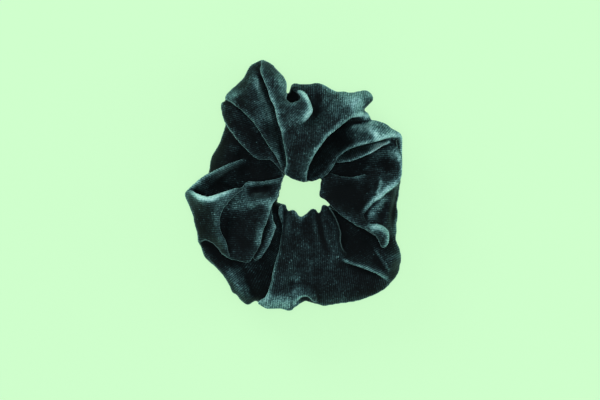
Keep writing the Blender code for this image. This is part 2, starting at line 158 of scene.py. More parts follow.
         ctrl="-4.4,-12.1,23 3,-16.7,25 9.9,-14,24.5 14.9,-12.1,25 -1.6,-22.7,28 7.6,-22.7,27.5 15.8,-22.7,27 -4.4,-31.8,30.5 3,-33.2,28.5 12.1,-33.2,28 18.6,-32.3,27.5 -6.2,-41,31 0.7,-43.3,29.5 9.9,-44.2,27.5 19,-41,27 25.9,-39.6,25 32.8,-41.9,24.5 39.6,-45.1,25 -8.5,-50.2,30 -1.6,-52.5,28 7.6,-50.6,26.5 16.7,-50.2,26 25.9,-48.8,25.5 -9.9,-45.6,30.5 -7.6,-35.1,30.5 23.1,-35.1,25.5 19.5,-25,25.5 20.4,-20.4,25 3,-38.7,28 12.1,-38.7,26.5",
         ridges=[("-1.6,-12.1 -2.1,-16.7 -3,-25", 1.2, 1.1),
                 ("8.5,-11.2 9.4,-16.7 11.2,-25", 1.3, 1.1),
                 ("12.6,-12.1 14.4,-19.5 16.7,-27.7", 1.2, 1.1),
                 ("5.3,-14 5.3,-19.5 4.8,-25", -1.0, 1.1),
                 ("2.1,-14.4 1.6,-19.5 0.7,-25.9", 0.6, 1.0),
                 ("-5.7,-8.5 -5.5,-14 -5.9,-21.3", 1.3, 0.6),
                 ("-4.3,-9.4 -4.1,-14.9 -4.8,-25", -1.8, 0.6),
                 ("11.2,-14 13.1,-23.1 15.8,-32.3", -1.1, 1.0),
                 ("17.6,-18.1 19.5,-26.8 23.6,-35.1", 0.9, 1.4),
                 ("4.4,-50.6 1.1,-47.9 -1.6,-42.4", -2.0, 1.8),
                 ("-10.3,-53.8 -6.2,-52.5 -0.7,-52.9", 0.9, 2.2),
                 ("6.6,-16.7 8.5,-29.6 11.2,-43.3", -0.7, 1.6),
                 ("-0.7,-27.7 -1.6,-36.4 -4.4,-45.1", 0.7, 2.0)],
         tones=[("-6.6,-29.6 -8.5,-36 -9.9,-43.3 -11.2,-50.6", 1.1, 0.3), ("-14.4,-52.9 -10.8,-53.4 -5.3,-54.3 -0.7,-53.8", 3.2, 0.5), ("-8,-50.6 -0.7,-51.1", 3.6, 0.22), ("-16.3,-53.2 -12.6,-51.1 -11.4,-47.9", 0.8, 0.35), ("16.7,-10.8 20.4,-16.3 22,-23.1 22.2,-29.6", 1.3, -0.3), ("0.7,-12.1 3,-14.2 4.8,-13.5", 1.2, 0.35), ("-4.4,-9.4 -1.6,-11.2", 1.2, 0.12), ("-6.4,-9.4 -6,-14.9", 1.3, 0.32), ("1.6,-14.4 4.8,-16.3", 2.2, 0.12), ("7.6,-33.2 8,-39.6", 3.0, 0.1), ("11.2,-14 13.1,-23.1 15.8,-32.3", 0.9, -0.16), ("-1.6,-25 -2.5,-33.2 -6.2,-43.3", 4.5, -0.12), ("1.1,-40.6 1.1,-47.9 2.1,-51.1", 3.4, 0.28), ("1.1,-14 5.3,-15.8", 2.6, 0.22), ("16.7,-13.5 14.9,-25", 4, -0.08), ("21.3,-45.6 32.8,-45.6", 5, -0.08), ("4.8,-32.3 4.4,-40.6", 5, 0.1), ("7.6,-25 11.2,-35.1", 6, 0.04), ("16.7,-51.1 24.1,-51.1", 4, 0.08), ("28.2,-48.8 37.3,-46", 4, -0.1), ("-3.4,-13.1 3,-15.8 10.3,-13.1", 3, -0.08)],
         ribs=(90, 119.1)),
    dict(name="bottom_arch",
         edges=[("h", 3, "-3.9,-45.6 3,-41.5 11.2,-45.1 10.3,-54.2"),
                ("f", 2.6, "10.3,-54.2 8.2,-52.3 6.4,-50.8 4.4,-50.8 2.3,-52.2 0.9,-54.3 -0.2,-56.5"),
                ("o", 9, "-0.2,-56.5 -2,-57.5 -4.4,-57"),
                ("h", 3, "-4.4,-57 -7.1,-50.6 -3.9,-45.6")],
         ctrl="3,-45.6,28.5 4.8,-48.8,29.3 1.1,-50.6,29.3 -1.6,-54.3,27 7.1,-51.1,28.5 9.4,-52.5,26.5 -1.6,-47.9,28.3 8.5,-47,27.5",
         tones=[("1.1,-52 4.4,-50.4 7.1,-51.3", 0.8, 0.42), ("-4.4,-54.1 -0.7,-54.8 1.6,-53.2", 2.6, 0.7), ("-3.9,-51.1 -1.1,-48.8 2.1,-46", 3.2, 0.34), ("3.9,-46 8.5,-47.4", 3, -0.04)],
         ribs=(90, 119.1)),
    dict(name="left_under_layer",
         edges=[("h", 4, "-14.4,-6.6 -8.9,-8"),
                ("f", 2.6, "-8.9,-8 -9.5,-10.3 -9,-13.1 -8.7,-15.7 -7.4,-18.6 -8.2,-21.5 -10.1,-26.3 -12.1,-29.8 -14.4,-33 -17.2,-35.1"),
                ("h", 4, "-17.2,-35.1 -20.8,-29.6 -14.4,-18.1 -14.4,-6.6")],
         ctrl="-10.8,-10.3,26 -10.8,-14,28 -9.4,-18.1,28 -10.8,-23.1,28.5 -13.1,-28.2,28.5 -16.3,-32.8,27.5 -13.5,-22.7,26.5 -16.3,-28.6,26 -12.6,-15.8,27",
         ridges=[("-9.4,-16.7 -12.1,-23.1 -15.3,-29.6", 0.8, 0.8)],
         tones=[("-8.9,-13.5 -8,-18.6 -9.9,-25 -12.6,-30", 1.3, 0.45), ("-13.1,-30.5 -15.8,-33.7", 2.0, 0.2)],
         ribs=(-20, 137.5)),
    dict(name="left_inner_panel",
         edges=[("f", 3.4, "-23.1,-0.2 -22,1.8 -19.5,2.2 -16.7,2 -13.4,2.4 -7,3.6 -3.4,4.4"),
                ("f", 5, "-3.4,4.4 -4.4,3 -5.7,-1.9 -7,-5.8 -8.9,-8.4"),
                ("f", 3.4, "-8.9,-8.4 -9.9,-11 -11.2,-14.8 -12.1,-18.1 -12.8,-19.2 -13.7,-22.8 -14.7,-26.9 -17.3,-31.4 -19.5,-35.1"),
                ("f", 3.4, "-19.5,-35.1 -21.5,-35.6 -25.7,-34.6 -29.5,-33.7 -32.8,-31.4"),
                ("h", 3, "-32.8,-31.4 -34.6,-25 -36,-16.7 -32.8,-8.9 -27.3,-3.9 -23.1,-0.2")],
         ctrl="-20.8,1.1,27.5 -16.7,0.7,28 -12.1,1.1,28.5 -6.2,2.1,28.5 -22.7,-2.1,27.5 -17.2,-2.1,25 -11.7,-1.1,25 -7.1,-2.1,27.5 -23.1,-6.6,27.5 -17.2,-6.2,30.5 -11.7,-5.7,30.5 -8.5,-6.6,29 -24.5,-12.1,26.5 -18.1,-12.1,28.5 -12.6,-12.1,31 -29.1,-15.8,25 -22.2,-19.5,27 -15.3,-19.5,31 -28.2,-25,26 -21.8,-27.7,27.5 -17.2,-27.7,30 -27.3,-31.4,27 -21.8,-34.1,28 -30.9,-12.1,25 -31.8,-21.3,25",
         ridges=[("-21.8,-9 -17.3,-7.1 -13.4,-5.9 -9.3,-6.6", 1.4, 1.8),
                 ("-21.8,-3 -16.3,-2.1 -10.8,-0.7", -1.8, 2.2),
                 ("-29.1,-13.5 -30.9,-19.5 -30,-25", -1.4, 1.6),
                 ("-16.3,-13.5 -18.1,-21.3 -20.8,-29.6", -0.9, 2.0)],
         tones=[("-20.8,1.6 -16.3,1.1 -12.6,1.6 -6.2,2.5", 1.6, 0.26), ("-20.8,-0.2 -22.2,-4.8 -23.1,-10.3", 2.8, 0.2), ("-21.3,-9.9 -17.2,-8.5 -12.6,-7.6 -8.9,-8", 1.7, 0.3), ("-24.1,-3 -25,-6.6 -27.3,-11.2", 3.2, 0.32), ("-5.3,-1.1 -7.1,-5.7 -9.4,-10.3 -11.7,-17.6", 1.6, 0.4), ("-8.5,-7.1 -9.9,-11.2", 2.4, 0.22), ("-14.4,-19.5 -15.8,-26.3", 2.0, 0.3), ("-24.5,-18.1 -21.8,-25 -23.6,-30.5", 5.5, -0.12), ("-18.6,-3 -11.7,-3.4", 3.4, -0.2), ("-19.9,0.7 -17.2,-0.2", 2, 0.12), ("-27.7,-8.5 -29.6,-12.1", 2.4, 0.15)],
         ribs=(-6, 137.5)),
    dict(name="left_pocket",
         edges=[("o", 9, "-48.3,-8.9 -48.5,-8 -50.1,-4.8 -49.8,-2.9 -47.2,-0.3 -42.4,3.5 -38.8,5.8"),
                ("f", 3.2, "-38.8,5.8 -34.3,8 -29.5,10.3 -26.3,11.5 -21.8,12.6"),
                ("h", 7, "-21.8,12.6 -18.1,8.9 -21.8,0.7"),
                ("h", 4, "-21.8,0.7 -24.5,-6.6 -32.8,-10.3 -42.8,-12.1 -48.3,-8.9")],
         ctrl="-48.3,-3.9,21 -46,-0.5,25 -40.1,3,28 -34.1,6.2,29.5 -28.2,9.2,28 -23.6,10.8,24 -42.4,-1.1,23 -37.3,-0.2,19 -31.8,2.5,18 -26.3,5.3,18.5 -23.6,6.2,19.5 -39.2,-3.9,20 -32.8,-2.1,18.5 -26.3,0.7,18.5 -22.7,3.4,19.5 -43.8,-2.7,19",
         tones=[("-48.8,-2.5 -43.3,2.3 -37.8,5.5 -30.9,8.9 -25.4,11.2", 1.0, 0.48), ("-48.3,-3 -42.8,2.1", 2.0, 0.15), ("-36.4,0.2 -30,2.1 -24.5,4.4", 4.5, -0.18), ("-43.3,-0.2 -38.3,-0.7 -34.6,0.7", 3, 0.12), ("-48.3,-3.9 -44.7,-2.1", 2.0, 0.25)],
         ribs=(-25, 119.1)),
    dict(name="left_outer_panel",
         edges=[("o", 10, "-42.8,-26.3 -44,-25.3 -44.3,-21.8 -45.6,-18 -46.2,-13.7 -47.8,-9.6 -48.5,-8 -50.1,-4.8 -49.5,-3.4"),
                ("f", 3.2, "-49.5,-3.4 -48.6,-1.8 -46.5,-2 -44,-3 -40.6,-4.4 -37.3,-4.4 -34.1,-3.2 -30.9,-2.2 -28.4,-1.3 -25.7,-0.7 -22.5,-0.3 -21.5,0.7"),
                ("f", 3.2, "-21.5,0.7 -21.8,-0.7 -23.1,-2.2 -26.3,-5.1 -28.5,-7.4 -30.1,-9.3 -31.4,-11 -32.7,-14.2 -33,-18.1 -32.7,-19.9 -31.4,-22.8 -29.8,-26 -29.2,-29.8 -28.6,-33.2"),
                ("f", 3.2, "-28.6,-33.2 -29.5,-33.5 -33.4,-30.8 -35.9,-27.6 -39.8,-25.2 -42.8,-26.3")],
         ctrl="-48.3,-5.3,24 -44.2,-6.6,28.5 -40.1,-8,32 -36,-7.6,32.5 -31.8,-6.2,32 -28.2,-3.9,31.5 -24.5,-2.1,30.5 -46.5,-12.1,26 -40.6,-13.5,28 -35.5,-13.1,31 -44.7,-18.6,25 -39.6,-19.5,26.5 -35.1,-19.5,30.5 -41.9,-24.1,24.5 -37.3,-25,27 -32.8,-25.9,30.5 -30.9,-30.5,29.5 -34.6,-28.6,26.5",
         ridges=[("-45.6,-4.8 -40.6,-6.9 -35.5,-6.4 -30.9,-4.8", 1.5, 1.6),
                 ("-41.5,-12.6 -37.8,-16.7 -35.1,-23.1", -0.8, 3.0),
                 ("-40.1,-24.1 -36.4,-26.3 -32.8,-29.6", -1.2, 2.0)],
         tones=[("-47.4,-2.7 -44.2,-4 -40.6,-5.2 -36.9,-5.2 -32.8,-3.7 -27.3,-1.6", 1.3, 0.75), ("-43.8,-4.6 -40.1,-5.5 -36,-5.3", 2.0, 0.7), ("-42.4,-5 -38.7,-5.7 -35.1,-5", 1.0, 0.4), ("-34.6,-4.4 -30.9,-3.4", 2.2, 0.25), ("-36.9,-8 -32.8,-7.1", 2.5, 0.2), ("-49.3,-3.9 -48.3,-7.6 -45.6,-14.9", 1.3, 0.2), ("-32.8,-8.5 -35.1,-14 -35.1,-20.4", 2.2, 0.28), ("-31.8,-24.1 -30,-29.6", 1.6, 0.12), ("-40.6,-14 -39.2,-21.3", 5, -0.12), ("-47.4,-6.2 -45.1,-11.2 -43.8,-21.3", 2.4, -0.24), ("-28.2,-3.9 -30.9,-8", 1.8, 0.2), ("-39.2,-25 -34.6,-28.6 -30.9,-31.4", 2.6, -0.2)],
         ribs=(-4, 146.6), join=1.6),
    dict(name="small_tuck",
         edges=[("h", 3, "21.3,33.7 31.4,36.4"),
                ("o", 5, "31.4,36.4 31.8,33.9 33.4,33.7 34.9,32.1 35.6,30.2 35.7,28.6"),
                ("h", 3, "35.7,28.6 28.6,26.3 21.3,27.3 21.3,33.7")],
         ctrl="25.9,30.9,26 30.5,30.5,26.5 33.2,31.4,28 34.6,30,26",
         tones=[("31.4,33.7 33.2,32.8 34.8,30.5", 2.0, 0.65), ("31.4,30.5 35.1,29.6", 1.6, 0.45)],
         ribs=(-60, 137.5)),
    dict(name="upper_right_roll",
         edges=[("h", 6, "3,4.4 7.1,16.3 14.4,25.4"),
                ("f", 2.6, "14.4,25.4 19.5,27 24.8,28.5 28.2,28.1 30.7,28.5 33.2,29.6"),
                ("o", 10, "33.2,29.6 35.6,30.2 39.1,29.4 42.1,28.3 44.9,26.2 47.9,24.5 49.5,22.6"),
                ("f", 3.0, "49.5,22.6 48.6,21.1 47.2,21.7 44.1,21.5 41.1,20.4 36.8,19.1 32.4,18.1 28,16.9 25.1,15.7 22.2,13.7 20.1,11.6 19,9.1 17.3,6.6 15.9,5.1 12.2,2.6"),
                ("f", 4.5, "12.2,2.6 9.2,1.5 6.1,1.8 3,4.4")],
         ctrl="6.2,4.4,23.5 10.3,6.2,25 14.9,9.4,27.5 16.7,14,27 12.1,14,21 16.7,19.9,20.5 22.2,24.5,21.5 23.6,18.6,25 20.4,16.3,26 28.2,20.8,28 33.2,22.7,30 26.8,25.4,24.5 31.4,26.3,28 36.9,25.4,32 41.5,25.4,31.5 38.7,21.8,32 44.2,23.6,30.5 47.9,23.1,30 23.6,15.8,29 30.5,19,30.5 36.9,20.8,32.5 14.4,5.3,28.5 9.9,2.5,27.5",
         ridges=[("26.8,26.3 29.6,23.6 33.2,20.8", -1.3, 1.8),
                 ("7.6,3.4 12.1,6.6 15.8,10.3 19.5,14.9 24.1,17.6", -1.1, 1.2),
                 ("33.2,26.8 35.5,24.5 38.7,21.8", 1.2, 1.5)],
         tones=[("31.8,29.3 35.1,29.3 38.7,28.4", 1.1, 0.5), ("29.1,27 31.4,27.7 34.1,28.4", 2.2, 0.6), ("36.9,28.2 41.5,26.3 45.1,24.5", 2.6, 0.26), ("33.2,28.2 35.5,25 38.3,20.8", 2.0, 0.38), ("26.3,26.3 29.6,26.8 32.3,26.3", 2.4, 0.42), ("27.7,23.6 31.8,22.2", 3.5, 0.14), ("38.7,21.3 43.3,22.5 47.9,22.5", 2.2, 0.26), ("36,23.6 40.6,22.7 47,23.1", 2.4, 0.42), ("47.9,21.5 43.8,21.8 38.7,20.6 32.3,19.2 26.8,17.4 22.7,14.9 19.5,11.7", 0.8, 0.38), ("28.6,19.9 34.1,21.8", 2.6, 0.06), ("23.6,24.5 19,19.9 12.1,11.7 8.5,6.2", 4.5, -0.15), ("16.7,8 20.4,13.5", 1.5, 0.12), ("21.3,19.9 28.6,18.1", 3, -0.12)],
         ribs=(55, 119.1)),
    dict(name="H_hollow",
         edges=[("o", 4, "-3.2,39.6 -2.7,41.5 -1.9,43.5 -1.1,45.4"),
                ("h", 2, "-1.1,45.4 3,44.7 5.7,40.1 3,36.4 -2.5,36 -3.2,39.6")],
         ctrl="-2.5,40.6,25 -0.7,43.8,26 1.1,41.9,24 2.1,39.6,24 -0.7,38.7,23.5 3.9,41,26 -1.6,36.9,26",
         tones=[("-1.6,40.1 1.6,40.6", 4, -0.35)],
         ribs=(70, 137.5)),
    dict(name="top_left_under_panel",
         edges=[("o", 9, "-30,40.6 -31.2,39 -32.8,38.3 -33.5,36.2 -32.8,32.3 -31.5,28.3"),
                ("f", 2.4, "-31.5,28.3 -29.7,25.6 -27.8,23.3 -24.7,19 -21.2,15.4 -17.9,12.2 -14.1,11 -11.1,11.3 -8.5,9.4 -4.6,4.8"),
                ("h", 4, "-4.6,4.8 -5.7,10.8 -9.4,18.1 -14,26.8 -22.2,34.6 -30,40.6")],
         ctrl="-31.8,37.3,27 -30.9,31.8,29 -27.3,30,30 -28.2,24.5,29 -23.1,24.5,28.5 -19.9,18.6,28.5 -24.5,19.9,28.5 -17.6,14,28.5 -14.4,16.3,27.5 -12.6,12.1,28 -8.9,11.2,28.5 -6.2,7.6,29 -9.9,16.3,28 -17.2,21.8,27.5 -21.8,28.2,28",
         ridges=[("-29.6,35.5 -26.3,29.1 -21.8,21.8", -1.2, 2.5),
                 ("-16.3,17.2 -14.4,14 -11.7,11.7", -0.7, 1.2)],
         tones=[("-32.8,37.3 -32.3,33.7", 1.2, 0.12), ("-30.9,32.8 -27.3,26.3", 3.0, -0.12), ("-30.9,27.7 -27.3,22.7 -21.8,16.3 -17.2,12.1", 0.9, 0.2), ("-27.3,30.9 -21.8,22.7 -18.1,16.3", 5, -0.15)],
         ribs=(20, 137.5)),
    dict(name="top_left_panel",
         edges=[("o", 10, "-14.3,57.5 -16.6,56.6 -19.1,55.1 -21.1,52.6 -23,48.7 -26,46 -29.7,42.5 -31.2,40.7 -31.2,39"),
                ("f", 2.6, "-31.2,39 -28.8,37.8 -25.8,35.3 -22.5,32.4 -19.5,29.4 -16.7,25.8 -14.2,21.8 -11.7,17.7 -9.4,14.4 -6.6,9.9 -3.9,4.1"),
                ("h", 4, "-3.9,4.1 -1.6,8.9 -2.5,18.1 -4.8,28.2 -7.6,37.3 -9.9,46.5 -11.7,53.8 -14.3,57.5")],
         ctrl="-14.9,54.8,31 -18.1,51.1,34 -21.8,45.6,34 -26.3,41.5,32 -29.6,39.2,31.5 -18.1,44.7,37 -19.9,39.2,36.5 -24.5,36.9,34.5 -15.8,48.3,34 -13.5,42.8,29 -11.7,39.2,29 -16.3,37.3,35.5 -19,32.8,35.5 -14.4,30.9,35.5 -9.9,33.7,29.5 -10.8,29.1,32 -13.5,25.4,35.5 -8,25.4,29.5 -10.3,20.8,35 -11.7,16.3,34.5 -6.2,16.3,29.5 -8,12.6,32 -5.3,8,30.5 -10.8,43.8,27 -8,36.4,27.5 -5.3,25.4,28",
         ridges=[("-14.4,51.1 -13.1,46.5 -11.2,41 -9.6,36.4 -8.2,30.9 -6.6,25 -5.7,18.1 -4.8,11.7", -0.9, 0.8),
                 ("-13.3,23.1 -10.5,18.3 -7.8,13.5 -4.8,8", 0.9, 0.6),
                 ("-14.2,22.7 -11.7,18.1 -8.9,13.5 -5.7,8", -0.7, 0.5),
                 ("-16.7,48.3 -15.8,43.8 -14.4,39.2", 0.9, 1.6),
                 ("-26.3,39.2 -19.9,33.7 -15.3,27.3", -0.8, 2.2),
                 ("-21.8,48.3 -24.5,42.8 -26.3,39.2", 0.8, 2.5)],
         tones=[("-16.7,47.4 -15.3,43.3 -13.5,38.7", 1.3, 0.42), ("-16.3,55.7 -20.4,52.5 -23.1,47.4 -26.3,43.3", 2.0, -0.16), ("-19.9,37.3 -17.2,31.8", 3.0, -0.12), ("-13.5,40.1 -11.7,34.6 -9.9,28.2", 2.4, 0.26), ("-15.3,47.4 -13.1,40.6 -10.3,33.2", 3.2, 0.42), ("-19.9,24.5 -17.2,19", 2.2, 0.1), ("-24.1,44.2 -28.6,40.1", 2.6, 0.14), ("-9.4,21.8 -7.6,16.3 -5.7,10.8", 2.0, 0.22), ("-29.6,40.1 -25.4,41.9", 2.0, 0.35), ("-16.3,30.9 -12.1,27.3", 4, 0.14), ("-10.3,18.1 -6.2,11.7", 2.0, 0.08), ("-12.1,27.3 -8.9,19.9", 2.6, -0.2), ("-29.1,37.8 -22.7,32.3 -17.2,26.3 -14,21.3 -9.4,14 -5.7,8", 0.55, 0.28), ("-15.4,50.6 -14.3,45.6 -12.5,40.6 -11.3,36.9", 0.8, -0.42), ("-11.3,36.9 -9.8,33.2 -8.9,29.1 -7.8,25 -6.6,20.4 -5.3,14.9 -4,8.9", 0.6, -0.22)],
         ribs=(28, 137.5)),
    dict(name="top_wing_and_tongue",
         edges=[("f", 3.0, "-3.7,4.2 -3.9,4.8 -4.1,7.7 -3.8,9.3 -3.8,12.5 -4.4,15.8 -5.1,19.3 -5.7,23.1 -6.2,24.8 -6.6,26.8"),
                ("h", 4, "-6.6,26.8 -3.4,31.8 0.2,36.4 2.5,40.1 1.1,42.2"),
                ("f", 2.6, "1.1,42.2 -0.6,43.7 -1.5,44.9"),
                ("o", 9, "-1.5,44.9 -1,45.9 0.3,46.9 5.5,46.3 10.4,46.9 13.5,46.3 16.2,44.8 19.9,42.9 22.6,43.1 25.7,42.3 29.1,42.9 32.8,43.4 34.9,42.3 36.5,40 35.8,37.9 32.8,35.1 31.8,33.9"),
                ("f", 3.6, "31.8,33.9 32.2,31.4 26.9,30.2 24.5,28.7 21.4,26.2 18.4,23.8 15.9,21.6 13.7,18.9 11.6,16.1 9.9,13.5 8.6,11 7.5,8.6 6.8,5.6 6.1,1.8"),
                ("f", 4.5, "6.1,1.8 5.2,0.8 3.8,1.1 -0.2,2.3 -3.7,4.2")],
         ctrl="-3.4,7.1,34 0.7,6.2,32.5 4.8,6.2,32 3,2.5,29 -3,16.3,37 1.1,16.3,36 6.6,12.6,35 -3.9,23.1,37.5 0.7,24.5,36.5 5.3,24.5,35.5 9.4,19.9,36 -4.4,28.2,35.5 1.1,30.9,34 13.1,23.6,35.5 11.2,29.1,31 16.7,27.3,35 11.2,36.9,28 10.3,42.8,28 14.9,39.2,30.5 19,33.7,33.5 22.2,30,35 23.6,36.9,35 28.6,39.2,36 33.2,40.1,34 26.8,33.7,36.5 30.5,32.8,35 3,44.7,28.5 7.6,44.7,28.5 0.7,44.7,27.5 16.7,42.8,29.5 25.9,41,34 13.1,32.8,29.5 8.5,30.9,30 4.8,37.3,27",
         ridges=[("10.8,43.8 11.7,39.2 11.2,34.6 8.9,29.6 5.7,26.8", -1.8, 2.2),
                 ("19.5,41 25.9,39.6 32.3,40.6", 1.3, 2.2),
                 ("22.2,31.8 17.6,27.7 13.1,22.7 9.4,16.7 7.1,11.7 4.8,6.2", -1.2, 1.8),
                 ("1.1,22.7 1.6,15.3 2.1,7.1", -0.7, 3.0)],
         tones=[("18.6,42.2 22.2,41.5 25.9,41 30.5,41.7 34.1,41.2", 1.6, 0.26), ("21.3,38.7 26.8,38.3 32.3,39.2", 3.6, 0.36), ("26.8,37.3 29.1,34.6 30.9,30.9", 3.4, 0.58), ("13.1,45.8 16.7,44.2 20.4,42.6", 1.8, 0.32), ("34.8,41.5 35.7,40.1", 1.2, 0.25), ("33,35.5 34.6,36.7 36.2,38.3", 1.1, -0.5), ("16.7,36.4 21.3,32.3", 4.0, 0.2), ("10.8,42.8 11.9,37.3 9.9,31.4", 1.7, -0.2), ("7.6,45.1 15.8,42.8", 2.0, 0.05), ("-4.4,21.3 -0.2,23.6 5.3,27.3", 3.0, 0.17), ("-2.5,30.9 2.1,28.6 5.7,29.1", 3.0, 0.2), ("15.8,28.2 19.5,25.9", 3, -0.1), ("10.8,30 8.5,27.3", 3, 0.16), ("22.7,28.6 16.7,24.1 12.1,18.6 8,11.7 5.7,5.3", 3.6, 0.15), ("-3.4,24.5 -1.6,19.9 -0.7,15.3", 2.6, -0.12), ("1.1,16.3 3,8", 6, 0.04), ("23.1,29.1 16.7,23.6 12.1,17.6 8.5,11.7 6.2,4.4", 1.2, 0.38), ("24.1,29.1 27.7,30.3 31.8,31.6", 1.4, 0.5), ("12.6,38.3 12.8,33.7 10.8,29.6", 2.4, 0.26), ("-4.7,20.4 -3.9,15.8 -3.3,11.7 -3.4,6.2", 0.6, 0.4)],
         ribs=(90, 91.6)),
    dict(name="top_peak_and_curl",
         edges=[("o", 8, "-14.3,57.5 -10.1,55.6 -6.6,51.9 -3.9,48.9 -2.8,45.7 -3.2,42.2 -3.1,40.3"),
                ("f", 2.4, "-3.1,40.3 -3.2,39.2 -1.2,37.8 -0,37.9 2.4,38.8 2.7,40.6 1.1,42.2 1.8,43.3"),
                ("f", 4.0, "1.8,43.3 3.9,43.1 6.1,41.6 7.6,39.1 8.8,35.7 9.2,33.3 7.3,30.2 4.8,28.2"),
                ("h", 5, "4.8,28.2 3,24.5 -0.7,21.8 -4.4,19.9"),
                ("f", 2.6, "-4.4,19.9 -5.1,20.4 -5.7,23.1 -6.2,24.8 -7.7,29 -8.4,32.3 -9.2,35.7 -10.9,38.7 -11.9,42.5 -13.6,46.7 -15.1,51.1 -15.1,53.4 -14.3,57.5")],
         ctrl="-13.5,54.8,34 -12.6,49.3,38 -11.2,43.8,38.5 -9.9,39.2,38.5 -8,34.6,38.5 -6.2,29.1,38.5 -4.8,23.6,38 -8,48.3,37.5 -5.3,44.7,36.5 -7.1,41,37 -4.4,40.1,36 -3.4,36.9,36.5 -0.7,35.5,37 2.5,36.9,36.5 4.8,39.2,36 3,42.4,32.5 6.2,36.4,37 7.1,32.8,36.8 3,31.8,37.6 -0.7,29.1,37.8 3,27.3,36.6 -2.5,24.5,37.6",
         ridges=[("-8.9,50.2 -6.2,44.7 -4.8,40.1", 0.9, 1.6),
                 ("-11.2,48.3 -8.9,41.9 -5.7,35.5", -0.9, 2.2),
                 ("4.4,40.6 6,37.3 6.4,33.2 3.9,30", 1.0, 1.8),
                 ("-4.4,33.7 -0.7,30.9 2.1,28.2", -0.7, 2.5)],
         tones=[("-6.2,48.8 -3.9,43.8 -4.4,40.1", 2.6, 0.44), ("-11.7,45.6 -9.4,41.5", 3.0, 0.14), ("-1.6,30 3,28.6 6.2,30", 2.6, 0.24), ("4.8,30 7.3,32.3 8.2,35.1", 2.4, 0.34), ("-9.9,39.2 -6.6,30 -4.4,22.7", 1.6, 0.28), ("-4.4,36.9 -0.7,36.2 3,37.6", 1.2, 0.24), ("-4.4,33.7 0.2,32.3 4.4,33.7", 3.0, 0.06), ("4.8,41.9 7.3,37.8 7.8,34.6 6.6,31.4 4.4,29.6", 1.7, 0.52), ("1.6,42.6 4.4,41.9 6.2,39.6", 1.6, 0.5), ("5.7,41 7.3,37.3 8,33.7", 1.2, 0.3), ("-10.8,48.3 -8,41", 3.0, 0.06), ("-14.4,52.5 -13.2,46.7 -11.5,42.5 -10.4,38.7 -8.8,35.7 -8,32.3 -7.3,29 -5.8,24.8 -4.7,20.4", 0.55, 0.38)],
         ribs=(50, 137.5)),
]

def pts(text):
    return np.array([[float(c) for c in p.split(",")] for p in text.split()])


def smooth_line(p, closed=False, n=3):
    """Catmull-Rom through the points, n parts a span."""
    q = np.vstack([p[-1:], p, p[:2]]) if closed else np.vstack([2 * p[0] - p[1], p, 2 * p[-1] - p[-2]])
    out = []
    for i in range(1, len(q) - 2):
        a, b, c, d = q[i - 1], q[i], q[i + 1], q[i + 2]
        for k in range(n):
            t = k / n
            out.append(0.5 * (2 * b + (c - a) * t + (2 * a - 5 * b + 4 * c - d) * t * t + (3 * b - a - 3 * c + d) * t ** 3))
    if not closed:
        out.append(q[-2])
    return np.array(out)


def line_distance(P, line):
    """Distance from each point to the polyline, and how far along it the nearest place is, 0 to 1."""
    best, where = np.full(len(P), 1e9), np.zeros(len(P))
    lengths = np.hypot(*(line[1:] - line[:-1]).T)
    total, before = lengths.sum(), 0.0
    for a, b, length in zip(line[:-1], line[1:], lengths):
        ab = b - a
        t = np.clip(((P - a) @ ab) / max(ab @ ab, 1e-12), 0, 1)
        d = np.hypot(P[:, 0] - a[0] - t * ab[0], P[:, 1] - a[1] - t * ab[1])
        nearer = d < best
        best[nearer] = d[nearer]
        where[nearer] = (before + t[nearer] * length) / total
        before += length
    return best, where


def inside(P, poly):
    x, y = P[:, 0], P[:, 1]
    c = np.zeros(len(P), bool)
    j = len(poly) - 1
    for i in range(len(poly)):
        (xi, yi), (xj, yj) = poly[i], poly[j]
        if yi != yj:
            c ^= ((yi > y) != (yj > y)) & (x < (xj - xi) * (y - yi) / (yj - yi) + xi)
        j = i
    return c


def thin_plate(ctrl, P, smooth=0.02):
    """Thin-plate surface through (x, y, z) points."""
    xy, z = ctrl[:, :2], ctrl[:, 2]
    n = len(xy)

    def phi(r2):
        return np.where(r2 > 1e-9, 0.5 * r2 * np.log(np.maximum(r2, 1e-9)), 0)
    A = np.zeros((n + 3, n + 3))
    A[:n, :n] = phi(((xy[:, None] - xy[None]) ** 2).sum(2)) + smooth * n * np.eye(n)
    A[:n, n] = 1
    A[:n, n + 1:] = xy
    A[n, :n] = 1
    A[n + 1:, :n] = xy.T
    w = np.linalg.solve(A, np.concatenate([z, np.zeros(3)]))
    out = np.full(len(P), w[n]) + P @ w[n + 1:]
    for i in range(n):
        out += w[i] * phi((P[:, 0] - xy[i, 0]) ** 2 + (P[:, 1] - xy[i, 1]) ** 2)
    return out


def lattice_noise(P, size, seed):
    """Smooth noise, -1 to 1, from values on a lattice of this size, in mm. Works in 2 or 3 dimensions."""
    rng = np.random.RandomState(seed)
    dims = P.shape[1]
    table = rng.uniform(-1, 1, (32,) * dims)
    q = P / size
    i = np.floor(q).astype(int)
    f = q - i
    f = f * f * (3 - 2 * f)
    out = np.zeros(len(P))
    for corner in range(2 ** dims):
        w, index = np.ones(len(P)), []
        for k in range(dims):
            bit = corner >> k & 1
            w = w * (f[:, k] if bit else 1 - f[:, k])
            index.append((i[:, k] + bit) % 32)
        out += w * table[tuple(index)]
    return out


LO = np.array([-57.0, -65.0, -1.5])
HI = np.array([57.0, 65.0, 44.0])
NX, NY, NZ = (int(math.ceil(v / VOXEL)) + 1 for v in HI - LO)
XS, YS, ZS = LO[0] + VOXEL * np.arange(NX), LO[1] + VOXEL * np.arange(NY), LO[2] + VOXEL * np.arange(NZ)


